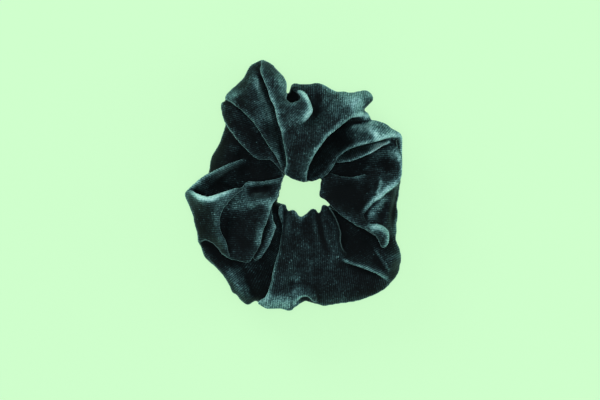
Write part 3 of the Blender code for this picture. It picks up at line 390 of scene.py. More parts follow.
def polish(A, axis_weights=(0.25, 0.5, 0.25), times=1):
    """Small binomial blur along the three axes."""
    for _ in range(times):
        for axis in range(3):
            B = np.pad(A, [(1, 1) if k == axis else (0, 0) for k in range(3)], "edge")
            lo = tuple(slice(0, -2) if k == axis else slice(None) for k in range(3))
            hi = tuple(slice(2, None) if k == axis else slice(None) for k in range(3))
            A = axis_weights[0] * B[lo] + axis_weights[1] * A + axis_weights[2] * B[hi]
    return A


def smooth_max(a, b, k):
    h = np.clip(0.5 + 0.5 * (a - b) / k, 0, 1)
    return b + (a - b) * h + k * h * (1 - h)


def fold_heights(P, fold):
    h = thin_plate(pts(fold["ctrl"]), P)
    for line, amp, width in fold.get("ridges", []):
        d, t = line_distance(P, smooth_line(pts(line)))
        taper = np.clip(np.minimum(t, 1 - t) / 0.18, 0, 1)
        taper = 0.25 + 0.75 * taper * taper * (3 - 2 * taper)
        h += amp * taper * np.exp(-np.sqrt((d / width) ** 2 + 0.15) + 0.387)
    return h


def pushed_out(line, amount, turn):
    """The line moved sideways, away from the inside of a polygon that turns this way."""
    along = np.gradient(line, axis=0)
    along /= np.maximum(np.hypot(*along.T), 1e-9)[:, None]
    return line + amount * turn * np.stack([along[:, 1], -along[:, 0]], 1)


def fold_field(fold, index):
    """Writes this fold into the field: positive inside the cloth's outer surface, in mm."""
    groups = [(kind, rho, smooth_line(pts(line))) for kind, rho, line in fold["edges"]]
    poly = np.vstack([g[2] for g in groups])
    turn = np.sign((poly[:, 0] * np.roll(poly[:, 1], -1) - np.roll(poly[:, 0], -1) * poly[:, 1]).sum())
    groups = [(kind, rho, pushed_out(line, GROW, turn) if kind == "o" else line) for kind, rho, line in groups]
    poly = np.vstack([g[2] for g in groups])
    x0, x1 = np.searchsorted(XS, [poly[:, 0].min() - 2, poly[:, 0].max() + 2])
    y0, y1 = np.searchsorted(YS, [poly[:, 1].min() - 2, poly[:, 1].max() + 2])
    gx, gy = np.meshgrid(XS[x0:x1], YS[y0:y1], indexing="ij")
    P = np.stack([gx.ravel(), gy.ravel()], 1)
    shape = gx.shape
    h = fold_heights(P, fold)
    h += 0.28 * lattice_noise(P, 5.5, 11) + 0.13 * lattice_noise(P, 2.2, 12)
    h = np.clip(h, 5, 41).reshape(shape)
    slope_x, slope_y = np.gradient(h, VOXEL)
    norm = np.sqrt(1 + np.minimum(slope_x ** 2 + slope_y ** 2, 9.0))[..., None]
    sign = np.where(inside(P, poly), 1.0, -1.0).reshape(shape)
    z = ZS[None, None, :]
    h3 = h[..., None]
    field = None
    for kind, rho, line in groups:
        d = (line_distance(P, line)[0].reshape(shape) * sign)[..., None]
        if kind == "o":
            up = np.minimum(h3 / 2 + 0.4, fold.get("puff", 9.0))
            middle = h3 - up
            half = np.where(z > middle, up, middle + 0.8)
            low = np.full_like(h3, -0.8)
        elif kind == "h":
            tall = min(rho, 2.2) + 0.30 * max(rho - 2.2, 0)
            rho = 1.25 * rho + 0.8
            middle = h3 - tall
            half = np.where(z > middle, tall, 1e4)
            low = np.full_like(h3, -0.8)
        else:
            # a free lip hangs clear in the middle of the ring, and drapes down where it nears the outer side or the hole
            tall = min(rho, 2.2) + 0.30 * max(rho - 2.2, 0)
            rho = 1.25 * rho + 0.8
            middle = h3 - tall
            drop = fold.get("drape", 3.0) * (np.maximum(9 - TO_SIDE[x0:x1, y0:y1], 0) + 1.5 * np.maximum(4.5 - TO_HOLE[x0:x1, y0:y1], 0))[..., None]
            half = np.where(z > middle, tall, tall + drop)
            low = h3 - 2 * tall - drop - fold.get("under", 0.9) * np.maximum(d - rho, 0)
        lip = rho - np.sqrt((rho - d) ** 2 + ((z - middle) * rho / half) ** 2)
        body = np.minimum((h3 - z) / norm, z - low)
        part = np.where(d < rho, lip, body)
        field = part if field is None else np.minimum(field, part)
    block = FIELD[x0:x1, y0:y1]
    owner = OWNER[x0:x1, y0:y1]
    owner[field > block] = index
    block[...] = smooth_max(field.astype(np.float32), block, fold.get("join", 0.5))


RING = np.array([3.28, -4.62])
GROW = 0.3                                     # mm that the last blur takes off the outer side
FIELD = np.full((NX, NY, NZ), -4.0, np.float32)
OWNER = np.zeros((NX, NY, NZ), np.int8)
TO_SIDE = np.zeros((NX, NY))                   # how far inside the ring's outer side and its hole each column is
TO_HOLE = np.zeros((NX, NY))


def base_field():
    """The body of the ring under the folds."""
    gx, gy = np.meshgrid(XS, YS, indexing="ij")
    P = np.stack([gx.ravel(), gy.ravel()], 1)
    out, hole = smooth_line(pts(OUTLINE), True), smooth_line(pts(HOLE), True)
    out = pushed_out(out, GROW, np.sign((out[:, 0] * np.roll(out[:, 1], -1) - np.roll(out[:, 0], -1) * out[:, 1]).sum()))
    sign_o = np.where(inside(P, out), 1.0, -1.0)
    sign_h = np.where(inside(P, hole), -1.0, 1.0)
    d_o = (line_distance(P, np.vstack([out, out[:1]]))[0] * sign_o - 1.2).reshape(gx.shape)[..., None]
    d_h = (line_distance(P, np.vstack([hole, hole[:1]]))[0] * sign_h - 0.5).reshape(gx.shape)[..., None]
    TO_SIDE[...], TO_HOLE[...] = d_o[..., 0] + 1.2, d_h[..., 0] + 0.5
    z = ZS[None, None, :]
    h, half = 19.0, 9.9
    middle = h - half
    a = 12 - np.sqrt((12 - np.minimum(d_o, 12)) ** 2 + ((z - middle) * 12 / half) ** 2)
    b = 8 - np.sqrt((8 - np.minimum(d_h, 8)) ** 2 + ((z - middle) * 8 / half) ** 2)
    np.maximum(FIELD, np.minimum(a, b), out=FIELD)


def grid_mesh(field, voxel, lo):
    grid = openvdb.FloatGrid(4.0)
    grid.copyFromArray(np.ascontiguousarray(-field, np.float32))
    points, quads = grid.convertToQuads(isovalue=0.0)
    return points * voxel + lo, quads


def largest_bodies(points, quads, least):
    """Drops loose scraps: keeps each connected body with at least this many faces."""
    label = np.arange(len(points))
    edges = np.vstack([quads[:, [0, 1]], quads[:, [1, 2]], quads[:, [2, 3]], quads[:, [3, 0]]])
    while True:
        low = np.minimum(label[edges[:, 0]], label[edges[:, 1]])
        new = label.copy()
        np.minimum.at(new, edges[:, 0], low)
        np.minimum.at(new, edges[:, 1], low)
        new = new[new]
        new = new[new]
        if (new == label).all():
            break
        label = new
    roots, counts = np.unique(label[quads[:, 0]], return_counts=True)
    good = set(roots[counts >= least].tolist())
    keep = np.array([label[q] in good for q in quads[:, 0]])
    quads = quads[keep]
    used = np.unique(quads)
    index = np.full(len(points), -1)
    index[used] = np.arange(len(used))
    return points[used], index[quads]


def relax(points, quads, rounds, amount=0.5):
    edges = np.unique(np.sort(np.vstack([quads[:, [0, 1]], quads[:, [1, 2]], quads[:, [2, 3]], quads[:, [3, 0]]]), axis=1), axis=0)
    count = np.bincount(edges.ravel(), minlength=len(points))[:, None]
    for _ in range(rounds):
        for step in (amount, -amount * 1.04):
            total = np.zeros_like(points)
            np.add.at(total, edges[:, 0], points[edges[:, 1]])
            np.add.at(total, edges[:, 1], points[edges[:, 0]])
            points = points + step * (total / count - points)
    return points


def sample(grid, points, lo, voxel, nearest=False):
    q = (points - lo) / voxel
    if nearest:
        i = np.clip(np.round(q).astype(int), 0, np.array(grid.shape) - 1)
        return grid[i[:, 0], i[:, 1], i[:, 2]]
    i = np.clip(np.floor(q).astype(int), 0, np.array(grid.shape) - 2)
    f = q - i
    out = 0
    for c in range(8):
        b = np.array([c & 1, c >> 1 & 1, c >> 2 & 1])
        w = np.prod(np.where(b, f, 1 - f), axis=1)
        j = i + b
        out = out + w * grid[j[:, 0], j[:, 1], j[:, 2]]
    return out


def rib_coordinate(points, owner, normals):
    """Distance across the ribs, in mm, for each point, by the fold that it is on, and how clearly they show there."""
    out, show = np.zeros(len(points)), np.ones(len(points))
    P = points[:, :2]
    for i in range(len(FOLDS) + 1):
        on = owner == i
        if not on.any():
            continue
        if i == 0:
            angle = np.arctan2(P[on, 1] - RING[1], P[on, 0] - RING[0])
            out[on] = angle * 34
            facing = normals[on, 1] * np.cos(angle) - normals[on, 0] * np.sin(angle)
            show[on] = 1 - facing ** 2
            continue
        fold = FOLDS[i - 1]
        degrees, fan = fold["ribs"]
        a = math.radians(degrees)
        along, across = np.array([math.cos(a), math.sin(a)]), np.array([-math.sin(a), math.cos(a)])
        middle = pts(fold["ctrl"])[:, :2].mean(0)
        if (middle - RING) @ along < 0:
            along = -along
        focus = middle - along * fan
        q = P[on] - focus
        out[on] = fan * np.arctan2(q @ across, q @ along) + i * 7.3
        show[on] = 1 - (normals[on, :2] @ across) ** 2
    return out, np.clip((np.sqrt(np.maximum(show, 0)) - 0.45) / 0.35, 0, 1)


def box_blur(A, cells):
    """Mean over a cube of 2 * cells + 1 voxels."""
    for axis in range(3):
        pad = [(cells + 1, cells) if k == axis else (0, 0) for k in range(3)]
        c = np.cumsum(np.pad(A, pad, "edge"), axis=axis, dtype=np.float64)
        hi = tuple(slice(2 * cells + 1, None) if k == axis else slice(None) for k in range(3))
        lo = tuple(slice(0, -2 * cells - 1) if k == axis else slice(None) for k in range(3))
        A = ((c[hi] - c[lo]) / (2 * cells + 1)).astype(np.float32)
    return A


def crowding(field, points, reach):
    """How much of the space round each point is cloth: under 0 on a ridge, over 0 in a crease."""
    filled = np.clip(field / VOXEL + 0.5, 0, 1).astype(np.float32)
    return sample(box_blur(box_blur(filled, max(1, round(reach / VOXEL))), max(1, round(reach / VOXEL))), points, LO, VOXEL) - 0.5


def normals_of(field, points):
    slopes = []
    for axis in range(3):
        step = np.zeros(3)
        step[axis] = VOXEL
        slopes.append(sample(field, points - step, LO, VOXEL) - sample(field, points + step, LO, VOXEL))
    slopes = np.stack(slopes, 1)
    return slopes / np.maximum(np.sqrt((slopes ** 2).sum(1)), 1e-6)[:, None]


def painted_light_tones(points, owner, field, normals):
    """How light or dark the velvet is painted at each point, as a shift along its colour ramp: painted highlights and
    painted shade along the folds' tone lines, plus painted shade in creases and a painted highlight on ridges.
    """
    tone = np.zeros(len(points))
    for i, fold in enumerate(FOLDS):
        on = np.nonzero(owner == i + 1)[0]
        if not len(on):
            continue
        P = points[on, :2]
        for line, width, amount in fold.get("tones", []):
            d, t = line_distance(P, smooth_line(pts(line)))
            tone[on] += amount * np.exp(-(d / width) ** 2) * (0.55 + 0.45 * np.clip(np.minimum(t, 1 - t) / 0.15, 0, 1))
    tone += 0.10 * lattice_noise(points, 6.0, 31) + 0.06 * lattice_noise(points, 2.4, 32)
    # the painted tones are weaker on steep sides, as if lit from above
    tone *= 0.45 + 0.55 * np.clip(1.6 * normals[:, 2], 0, 1)
    # painted shade in creases and a painted highlight on ridges, by how much cloth is round each point
    small, wide = crowding(field, points, 0.9), crowding(field, points, 3.0)
    tone = np.where(tone > 0, 0.85 * np.tanh(tone / 0.85), tone)
    return 1.15 * tone - np.clip(1.3 * small, -0.16, 0.5) - np.clip(1.1 * wide, -0.08, 0.5)


def eased(values, quads, rounds):
    """Averages a value with its neighbours on the mesh."""
    edges = np.vstack([quads[:, [0, 1]], quads[:, [1, 2]], quads[:, [2, 3]], quads[:, [3, 0]]])
    count = np.bincount(edges.ravel(), minlength=len(values))
    for _ in range(rounds):
        total = np.bincount(edges[:, 0], values[edges[:, 1]], len(values)) + np.bincount(edges[:, 1], values[edges[:, 0]], len(values))
        values = 0.4 * values + 0.6 * total / np.maximum(count, 1)
    return values


def build_cover():
    base_field()
    for i, fold in enumerate(FOLDS):
        fold_field(fold, i + 1)
    field = FIELD
    gx, gy = np.meshgrid(XS, YS, indexing="ij")
    P = np.stack([gx.ravel(), gy.ravel()], 1)
    angle = np.arctan2(P[:, 1] - RING[1], P[:, 0] - RING[0])
    r = np.hypot(P[:, 0] - RING[0], P[:, 1] - RING[1])
    # gathers on the sides and the underside: radial pleats, deepest at the hair hole
    warp = lattice_noise(P, 9, 21) * 0.35 + 0.25 * lattice_noise(P, 4, 22)
    fine = np.cos((angle + warp * 6 / np.maximum(r, 6)) * 38) * np.clip((30 - r) / 20, 0, 1)
    broad = np.cos((angle + warp * 9 / np.maximum(r, 6)) * 17 + 1.3)
    pleat = (0.75 * fine + 0.85 * broad * np.clip(r / 30, 0.3, 1)).reshape(gx.shape)[..., None]
    z = ZS[None, None, :]
    low = np.clip((15 - z) / 9, 0, 1)
    side = np.clip(1 - np.abs(z - 14) / 14, 0, 1) * np.clip((r.reshape(gx.shape) - 36) / 8, 0, 1)[..., None]
    field += (pleat * np.maximum(low, 0.45 * side) - 0.35 * low).astype(np.float32)
    # the tube rolls under itself at the outer side and at the hole
    down = ZS < 14
    for inset, reach, middle in ((TO_SIDE + GROW, 9.0, 14.0), (TO_HOLE, 4.5, 12.0)):
        inset = inset[..., None]
        under = np.maximum(middle - ZS[down], 0)[None, None, :] * reach / (middle + 0.6)
        roll = np.where(inset < reach, reach - np.sqrt((reach - inset) ** 2 + under ** 2), reach - under)
        field[:, :, down] = np.minimum(field[:, :, down], roll + 0.5 * pleat)
    # the table flattens what touches it
    field = np.minimum(field, (z - 0.0).astype(np.float32))
    field = polish(field, times=1)
    points, quads = grid_mesh(field, VOXEL, LO)
    points, quads = largest_bodies(points, quads, 4000)
    points = relax(points, quads, 2)
    owner = sample(OWNER, points, LO, VOXEL, nearest=True)
    normals = normals_of(field, points)
    ribs, show = rib_coordinate(points, owner, normals)
    # painted highlight and shade on the velvet, from the folds' tone lines and the creases
    tones = eased(painted_light_tones(points, owner, field, normals), quads, 2)
    show = eased(show * (1 - 0.5 * np.clip(tones, 0, 1)), quads, 3)
    # the inner face of the cloth, at half the detail
    global DEPTH
    DEPTH = polish(field, times=2)
    coarse = DEPTH[::2, ::2, ::2] - CLOTH
    inner, inner_quads = grid_mesh(coarse, VOXEL * 2, LO)
    inner, inner_quads = largest_bodies(inner, inner_quads, 300)
    print("cover: outer", len(quads), "inner", len(inner_quads), "z", points[:, 2].min(), points[:, 2].max())
    mesh = bpy.data.meshes.new("velvet_cover")
    n = len(points)
    allp = np.vstack([points, inner]) * MM
    faces = np.vstack([quads, inner_quads[:, ::-1] + n])
    mesh.vertices.add(len(allp))
    mesh.vertices.foreach_set("co", allp.astype(np.float32).ravel())
    mesh.loops.add(len(faces) * 4)
    mesh.loops.foreach_set("vertex_index", faces.astype(np.int32).ravel())
    mesh.polygons.add(len(faces))
    mesh.polygons.foreach_set("loop_start", np.arange(len(faces), dtype=np.int32) * 4)
    mesh.polygons.foreach_set("loop_total", np.full(len(faces), 4, np.int32))
    mesh.update(calc_edges=True)
    mesh.validate()
    # ribs, how clearly they show, and the painted highlight and shade go on the mesh as point attributes
    for name, known in (("rib", ribs), ("rib_show", show), ("painted_light", tones)):
        attribute = mesh.attributes.new(name, "FLOAT", "POINT")
        values = np.zeros(len(allp), np.float32)
        values[:n] = known
        attribute.data.foreach_set("value", values)
    mesh.shade_smooth()
    obj = bpy.data.objects.new("velvet_cover", mesh)
    bpy.context.scene.collection.objects.link(obj)
    return obj


# ---------------------------------------------------------------- materials

def nodes_of(name):
    material = bpy.data.materials.new(name)
    material.use_nodes = True
    tree = material.node_tree
    return material, tree, tree.nodes["Principled BSDF"]


def add_node(tree, kind, **settings):
    node = tree.nodes.new(kind)
    for key, value in settings.items():
        setattr(node, key, value)
    return node


def math_node(tree, operation, a, b=None, clamp=False):
    node = add_node(tree, "ShaderNodeMath", operation=operation, use_clamp=clamp)
    for slot, value in ((0, a), (1, b)):
        if value is None:
            continue
        if isinstance(value, (int, float)):
            node.inputs[slot].default_value = value
        else:
            tree.links.new(value, node.inputs[slot])
    return node.outputs[0]


def noise(tree, vector, scale, detail=2.0, roughness=0.5, distortion=0.0):
    node = add_node(tree, "ShaderNodeTexNoise")
    node.inputs["Scale"].default_value = scale
    node.inputs["Detail"].default_value = detail
    node.inputs["Roughness"].default_value = roughness
    node.inputs["Distortion"].default_value = distortion
    tree.links.new(vector, node.inputs["Vector"])
    return node.outputs["Fac"]


def ramp(tree, factor, stops):
    node = add_node(tree, "ShaderNodeValToRGB")
    elements = node.color_ramp.elements
    while len(elements) < len(stops):
        elements.new(0.5)
    for element, (place, colour) in zip(elements, stops):
        element.position = place
        element.color = (*colour, 1.0)
    tree.links.new(factor, node.inputs["Fac"])
    return node.outputs["Color"]


def mix_colour(tree, factor, a, b, mode="MIX"):
    node = add_node(tree, "ShaderNodeMix", data_type="RGBA", blend_type=mode)
    for slot, value in ((0, factor), (6, a), (7, b)):
        if isinstance(value, (int, float)):
            node.inputs[slot].default_value = value
        elif isinstance(value, tuple):
            node.inputs[slot].default_value = (*value, 1.0)
        else:
            tree.links.new(value, node.inputs[slot])
    return node.outputs[2]


def velvet_material():
    """Crushed stretch velvet, nearly black, with painted highlights and painted shade from the point attribute, and a
    painted sheen that lightens it to pale teal where it is seen from its side.
    """
    material, tree, shader = nodes_of("velvet_teal")
    place = add_node(tree, "ShaderNodeTexCoord").outputs["Object"]
    rib = add_node(tree, "ShaderNodeAttribute", attribute_name="rib").outputs["Fac"]
    painted_light = add_node(tree, "ShaderNodeAttribute", attribute_name="painted_light").outputs["Fac"]
    show = add_node(tree, "ShaderNodeAttribute", attribute_name="rib_show").outputs["Fac"]
    phase = math_node(tree, "MULTIPLY", rib, 2 * math.pi / RIB)
    wobble = math_node(tree, "MULTIPLY", noise(tree, place, 260, 2.0), 2.0)
    wave = math_node(tree, "MULTIPLY", math_node(tree, "SINE", math_node(tree, "ADD", phase, wobble)), show)
    wave = math_node(tree, "MULTIPLY_ADD", wave, 0.5)
    tree.nodes[-1].inputs[2].default_value = 0.5
    pile = noise(tree, place, 2300, 2.0, 0.75)
    tufts = noise(tree, place, 1000, 3.0, 0.7)
    mottle = noise(tree, place, 260, 3.0, 0.65, 0.4)
    grain = math_node(tree, "ADD", math_node(tree, "MULTIPLY", tufts, 0.55), math_node(tree, "MULTIPLY", pile, 0.45))
    # painted sheen: the colour is lightened where the surface is seen from its side
    weight = add_node(tree, "ShaderNodeLayerWeight")
    weight.inputs["Blend"].default_value = 0.30
    painted_rim_sheen = math_node(tree, "POWER", weight.outputs["Facing"], 1.6)
    # place on the colour ramp
    x = math_node(tree, "MULTIPLY_ADD", math_node(tree, "SUBTRACT", grain, 0.5), 1.7)
    tree.nodes[-1].inputs[2].default_value = 0.07
    x = math_node(tree, "ADD", x, math_node(tree, "MULTIPLY", math_node(tree, "SUBTRACT", mottle, 0.5), 0.6))
    x = math_node(tree, "ADD", x, math_node(tree, "MULTIPLY", math_node(tree, "SUBTRACT", wave, 0.5), 0.33))
    # painted sheen added to the colour
    x = math_node(tree, "ADD", x, math_node(tree, "MULTIPLY", painted_rim_sheen, 0.62))
    # painted highlight and painted shade from the point attribute
    x = math_node(tree, "ADD", x, painted_light)
    # single tufts that catch the light
    dots = math_node(tree, "MULTIPLY", math_node(tree, "SUBTRACT", noise(tree, place, 1500, 1.0, 0.5), 0.60), 3.0, clamp=True)
    x = math_node(tree, "ADD", x, math_node(tree, "MULTIPLY", dots, 0.75))
    x = math_node(tree, "MULTIPLY", x, 1 / 1.4)
    colour = ramp(tree, x, [(0.0, (0.0010, 0.0024, 0.0032)), (0.179, (0.0050, 0.0112, 0.0138)), (0.357, (0.0180, 0.0425, 0.0475)), (0.536, (0.062, 0.145, 0.154)), (0.714, (0.18, 0.37, 0.38)), (1.0, (0.46, 0.74, 0.74))])
    tree.links.new(colour, shader.inputs["Base Color"])
    shader.inputs["Roughness"].default_value = 0.9
    shader.inputs["Specular IOR Level"].default_value = 0.10
    shader.inputs["Sheen Weight"].default_value = 0.44
    shader.inputs["Sheen Roughness"].default_value = 0.28
    shader.inputs["Sheen Tint"].default_value = (0.42, 0.80, 0.80, 1.0)
    bump_rib = add_node(tree, "ShaderNodeBump")
    bump_rib.inputs["Strength"].default_value = 0.26
    bump_rib.inputs["Distance"].default_value = 0.00018
    tree.links.new(wave, bump_rib.inputs["Height"])
    bump_pile = add_node(tree, "ShaderNodeBump")
    bump_pile.inputs["Strength"].default_value = 0.5
    bump_pile.inputs["Distance"].default_value = 0.00030
    tree.links.new(grain, bump_pile.inputs["Height"])
    tree.links.new(bump_rib.outputs["Normal"], bump_pile.inputs["Normal"])
    tree.links.new(bump_pile.outputs["Normal"], shader.inputs["Normal"])
    return material


def elastic_material():
    material, tree, shader = nodes_of("elastic_braid")
    place = add_node(tree, "ShaderNodeTexCoord").outputs["Object"]
    uv = add_node(tree, "ShaderNodeAttribute", attribute_name="braid").outputs["Vector"]
    wave = add_node(tree, "ShaderNodeTexWave", bands_direction="DIAGONAL")
    wave.inputs["Scale"].default_value = 0.55
    wave.inputs["Distortion"].default_value = 0.6
    tree.links.new(uv, wave.inputs["Vector"])
    fine = noise(tree, place, 2200, 2.0, 0.6)
    both = math_node(tree, "ADD", math_node(tree, "MULTIPLY", wave.outputs["Fac"], 0.7), math_node(tree, "MULTIPLY", fine, 0.4))
    tree.links.new(ramp(tree, both, [(0.15, (0.008, 0.008, 0.009)), (0.95, (0.045, 0.046, 0.048))]), shader.inputs["Base Color"])
    shader.inputs["Roughness"].default_value = 0.78
    shader.inputs["Sheen Weight"].default_value = 0.3
    bump = add_node(tree, "ShaderNodeBump")
    bump.inputs["Strength"].default_value = 0.6
    bump.inputs["Distance"].default_value = 0.0002
    tree.links.new(both, bump.inputs["Height"])
    tree.links.new(bump.outputs["Normal"], shader.inputs["Normal"])
    return material


def thread_material():
    material, tree, shader = nodes_of("thread_teal")
    place = add_node(tree, "ShaderNodeTexCoord").outputs["Object"]
    fine = noise(tree, place, 4200, 2.0, 0.6, 1.2)
    tree.links.new(ramp(tree, fine, [(0.3, (0.008, 0.022, 0.025)), (0.75, (0.035, 0.080, 0.085))]), shader.inputs["Base Color"])
    shader.inputs["Roughness"].default_value = 0.55
    shader.inputs["Sheen Weight"].default_value = 0.4
    bump = add_node(tree, "ShaderNodeBump")
    bump.inputs["Strength"].default_value = 0.5
    bump.inputs["Distance"].default_value = 0.00008
    tree.links.new(fine, bump.inputs["Height"])
    tree.links.new(bump.outputs["Normal"], shader.inputs["Normal"])
    return material


# ---------------------------------------------------------------- the pieces inside the cover

def tube(name, points, radius, cyclic=False, sides=8):
    curve = bpy.data.curves.new(name, "CURVE")
    curve.dimensions = "3D"
    curve.bevel_depth = radius * MM
    curve.bevel_resolution = max(1, sides // 4)
    curve.use_fill_caps = True
    spline = curve.splines.new("POLY")
    spline.points.add(len(points) - 1)
    for slot, p in zip(spline.points, points):
        slot.co = (p[0] * MM, p[1] * MM, p[2] * MM, 1.0)
    spline.use_cyclic_u = cyclic
    made = bpy.data.objects.new(name + "_curve", curve)
    bpy.context.scene.collection.objects.link(made)
    graph = bpy.context.evaluated_depsgraph_get()
    mesh = bpy.data.meshes.new_from_object(made.evaluated_get(graph))
    mesh.name = name
    bpy.data.objects.remove(made)
    bm = bmesh.new()
    bm.from_mesh(mesh)
    bmesh.ops.remove_doubles(bm, verts=bm.verts, dist=1e-6)
    bm.to_mesh(mesh)
    bm.free()
    mesh.shade_smooth()
    obj = bpy.data.objects.new(name, mesh)
    bpy.context.scene.collection.objects.link(obj)
    return obj


def stepped(value, lo, hi):
    t = min(max((value - lo) / (hi - lo), 0.0), 1.0)
    return t * t * (3 - 2 * t)


def ellipse_of(node):
    low, high = (np.array(v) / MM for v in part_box(node))
    return (low + high) / 2, (high - low) / 2


def make_elastic():
    """Braided flat elastic: a strip with a corded surface and rounded edges, its ends lapped at the left."""
    middle, half = ellipse_of("elastic_band")
    ring_x, ring_y = RING_CAD
    thick, width, gap, overlap = 1.0, 6.0, 0.3, 11.0
    mean_x, mean_y = half[0] - (thick + gap / 2) / 1.0, half[1] - (thick + gap / 2) / 1.0
    scale_y = mean_y / mean_x
    r0 = mean_x
    lap = overlap / r0
    n, across = 300, 13
    rows = []
    braid = []
    for i in range(n + 1):
        s = i / n
        angle = math.pi - lap / 2 + (2 * math.pi + lap) * s
        step = (thick + gap) / 2 * (2 * stepped(s, 0.15, 0.85) - 1)
        ring, coords = [], []
        section = []
        for k in range(across):
            v = k / (across - 1)
            cord = 0.07 * abs(math.sin(v * math.pi * 6))
            section.append((thick / 2 - 0.08 + cord * math.sin(math.pi * min(v, 1 - v) * 4 if min(v, 1 - v) < 0.125 else math.pi / 2), (v - 0.5) * (width - 0.2)))
        loop = section + [(-a, b) for a, b in reversed(section)]
        for a, b in loop:
            r = r0 + step + a
            weave = 0.03 * math.sin(s * 2 * math.pi * r0 / 0.9 + b * 3.0)
            r += weave if a > 0 else -weave
            ring.append((ring_x + r * math.cos(angle), ring_y + r * scale_y * math.sin(angle), middle[2] + b))
            coords.append((s * 2 * math.pi * r0, b, a))
        rows.append(ring)
        braid.append(coords)
    m = len(rows[0])
    verts = [tuple(c * MM for c in p) for ring in rows for p in ring]
    faces = []
    for i in range(n):
        for k in range(m):
            faces.append((i * m + k, i * m + (k + 1) % m, (i + 1) * m + (k + 1) % m, (i + 1) * m + k))
    faces.append(tuple(range(m))[::-1])
    faces.append(tuple(n * m + k for k in range(m)))
    mesh = bpy.data.meshes.new("elastic_loop")
    mesh.from_pydata(verts, [], faces)
    attribute = mesh.attributes.new("braid", "FLOAT_VECTOR", "POINT")
    attribute.data.foreach_set("vector", np.array([c for coords in braid for c in coords], np.float32).ravel())
    bm = bmesh.new()
    bm.from_mesh(mesh)
    bmesh.ops.recalc_face_normals(bm, faces=bm.faces)
    bm.to_mesh(mesh)
    bm.free()
    mesh.shade_smooth()
    obj = bpy.data.objects.new("elastic_loop", mesh)
    bpy.context.scene.collection.objects.link(obj)
    return obj


def settle(points, clear, rounds=30):
    """Eases a closed run of points along the cover's depth until it lies in the hollow of the tube."""
    start = np.array(points)
    moved = start.copy()
    for k in range(rounds):
        depth = sample(DEPTH, moved, LO, VOXEL)
        slope = np.stack([sample(DEPTH, moved + d, LO, VOXEL) - sample(DEPTH, moved - d, LO, VOXEL) for d in 0.6 * np.eye(3)], 1)
        slope /= np.maximum(np.linalg.norm(slope, axis=1, keepdims=True), 1e-6)
        moved = moved + slope * np.clip(clear - depth, 0, 0.3)[:, None]
        if k < rounds - 6:
            shift = moved - start
            moved = start + 0.25 * np.roll(shift, 1, axis=0) + 0.5 * shift + 0.25 * np.roll(shift, -1, axis=0)
    print("settled: moved by at most", np.linalg.norm(moved - start, axis=1).max(), "least depth", sample(DEPTH, moved, LO, VOXEL).min())
    return [tuple(p) for p in moved]


def make_threads():
    """The whipping round the elastic's lap, the tube's lengthwise lockstitch, and the stitches that close the tube."""
    made = []
    middle, half = ellipse_of("elastic_join_thread")
    turns, points = 6, []
    for i in range(30 * turns + 1):
        t = i / (30 * turns)
        phi = 2 * math.pi * turns * t
        a = math.copysign(abs(math.cos(phi)) ** 0.55, math.cos(phi))
        b = math.copysign(abs(math.sin(phi)) ** 0.55, math.sin(phi))
        y = (2 * t - 1) * (half[1] - 0.2)
        bow = (half[1] ** 2 - y * y) / (2 * 22.0)
        points.append((middle[0] + bow * 0.0 + a * (half[0] - 0.55) + (y * y) / 44.0 - half[1] ** 2 / 88.0, middle[1] - y, middle[2] + b * (half[2] - 0.2)))
    made.append(tube("elastic_whipping", points, 0.2))
    middle, half = ellipse_of("tube_seam_thread")
    points = []
    n = 480
    for i in range(n):
        a = 2 * math.pi * i / n
        stitch = math.sin(a * 60)
        points.append((middle[0] + (half[0] - 0.35 + 0.12 * stitch) * math.cos(a), middle[1] + (half[1] - 0.35 + 0.12 * stitch) * math.sin(a), middle[2] - 1.7 + 0.9 * math.sin(a + 0.6) + 0.18 * abs(stitch)))
    made.append(tube("tube_lockstitch", settle(points, CLOTH + 0.55), 0.2, cyclic=True))
    middle, half = ellipse_of("closing_seam_thread")
    points = []
    n, stitches = 240, 15
    for i in range(n + 1):
        t = i / n
        phi = math.radians(212) + math.radians(296) * t
        side = math.asin(math.sin(2 * math.pi * stitches * t)) / (math.pi / 2)
        c = math.copysign(abs(math.cos(phi)) ** 0.9, math.cos(phi))
        s = math.copysign(abs(math.sin(phi)) ** 0.9, math.sin(phi))
        points.append((middle[0] + side * 1.3, middle[1] - (half[1] - 0.2) * c, middle[2] + (half[2] - 0.2) * s))
    made.append(tube("closing_stitches", points, 0.2))
    return made


RING_CAD = (2.9, -4.6)

velvet, braid, thread = velvet_material(), elastic_material(), thread_material()

cover = build_cover()
cover.data.materials.append(velvet)
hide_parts("velvet_cover_left", "velvet_cover_right")
elastic = make_elastic()
elastic.data.materials.append(braid)
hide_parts("elastic_band")
whipping, lockstitch, closing = make_threads()
for piece, node in ((whipping, "elastic_join_thread"), (lockstitch, "tube_seam_thread"), (closing, "closing_seam_thread")):
    piece.data.materials.append(thread)
    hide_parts(node)
for piece in (cover, elastic, lockstitch, closing):
    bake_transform(piece)
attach(whipping, "left_side")

# ---------------------------------------------------------------- floor, light and camera

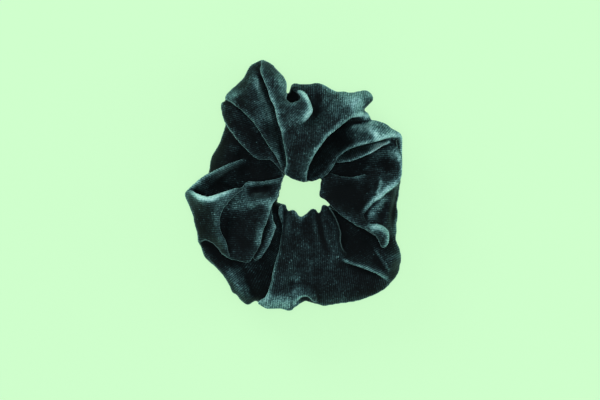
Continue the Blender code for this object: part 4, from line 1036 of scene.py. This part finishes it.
def make_floor():
    """A pale floor that curves up into a low wall far away."""
    profile = [(0.0, -0.0003), (2.6, -0.0003)]
    profile += [(2.6 + 0.3 * math.sin(a), 0.2997 - 0.3 * math.cos(a)) for a in np.radians([15, 30, 45, 60, 75, 90])] + [(2.9, 0.6)]
    turns = 96
    vertices = [(r * math.cos(2 * math.pi * k / turns), r * math.sin(2 * math.pi * k / turns), z) for r, z in profile[1:] for k in range(turns)]
    faces = [tuple(range(turns))]
    for row in range(len(profile) - 2):
        for k in range(turns):
            n = (k + 1) % turns
            faces.append((row * turns + k, row * turns + n, (row + 1) * turns + n, (row + 1) * turns + k))
    mesh = bpy.data.meshes.new("floor")
    mesh.from_pydata(vertices, [], faces)
    for face in mesh.polygons:
        face.use_smooth = face.index > 0
    obj = bpy.data.objects.new("floor", mesh)
    bpy.context.scene.collection.objects.link(obj)
    material, tree, shader = nodes_of("floor_pale")
    shader.inputs["Base Color"].default_value = (0.085, 0.135, 0.082, 1.0)
    shader.inputs["Emission Color"].default_value = (0.624, 0.991, 0.604, 1.0)
    shader.inputs["Emission Strength"].default_value = 0.85
    shader.inputs["Roughness"].default_value = 0.9
    shader.inputs["Specular IOR Level"].default_value = 0.1
    mesh.materials.append(material)


def area_light(name, place, size, power, colour=(1, 1, 1), aim=(0.0, 0.0, 0.015), size_y=None):
    data = bpy.data.lights.new(name, "AREA")
    data.energy = power
    data.size = size
    if size_y:
        data.shape = "RECTANGLE"
        data.size_y = size_y
    data.color = colour
    obj = bpy.data.objects.new(name, data)
    bpy.context.scene.collection.objects.link(obj)
    obj.location = place
    obj.rotation_euler = (Vector(aim) - Vector(place)).to_track_quat("-Z", "Y").to_euler()
    return obj


make_floor()
area_light("overhead", (0.003, -0.005, 1.4), 0.35, 8.0, (0.97, 1.0, 0.98))
area_light("back_left", (-0.45, 0.55, 0.50), 0.35, 2.4)
area_light("right", (0.75, 0.05, 0.35), 0.45, 1.6, (0.96, 0.99, 1.0))
area_light("front", (0.05, -0.75, 0.35), 0.5, 0.9)

world = bpy.data.worlds.new("studio")
world.use_nodes = True
world.node_tree.nodes["Background"].inputs["Color"].default_value = (0.93, 1.0, 0.95, 1.0)
world.node_tree.nodes["Background"].inputs["Strength"].default_value = 0.42
bpy.context.scene.world = world

camera_data = bpy.data.cameras.new("camera")
camera = bpy.data.objects.new("camera", camera_data)
bpy.context.scene.collection.objects.link(camera)
DISTANCE = 1.2
camera_data.sensor_width = 36.0
camera_data.lens = 36.0 * (DISTANCE - 0.016) / 0.27492
camera_data.clip_end = 20.0
camera.location = (0.00298, -0.00664, DISTANCE)
camera.rotation_euler = (0.0, 0.0, 0.0)
bpy.context.scene.camera = camera
bpy.context.scene.view_settings.view_transform = "Standard"
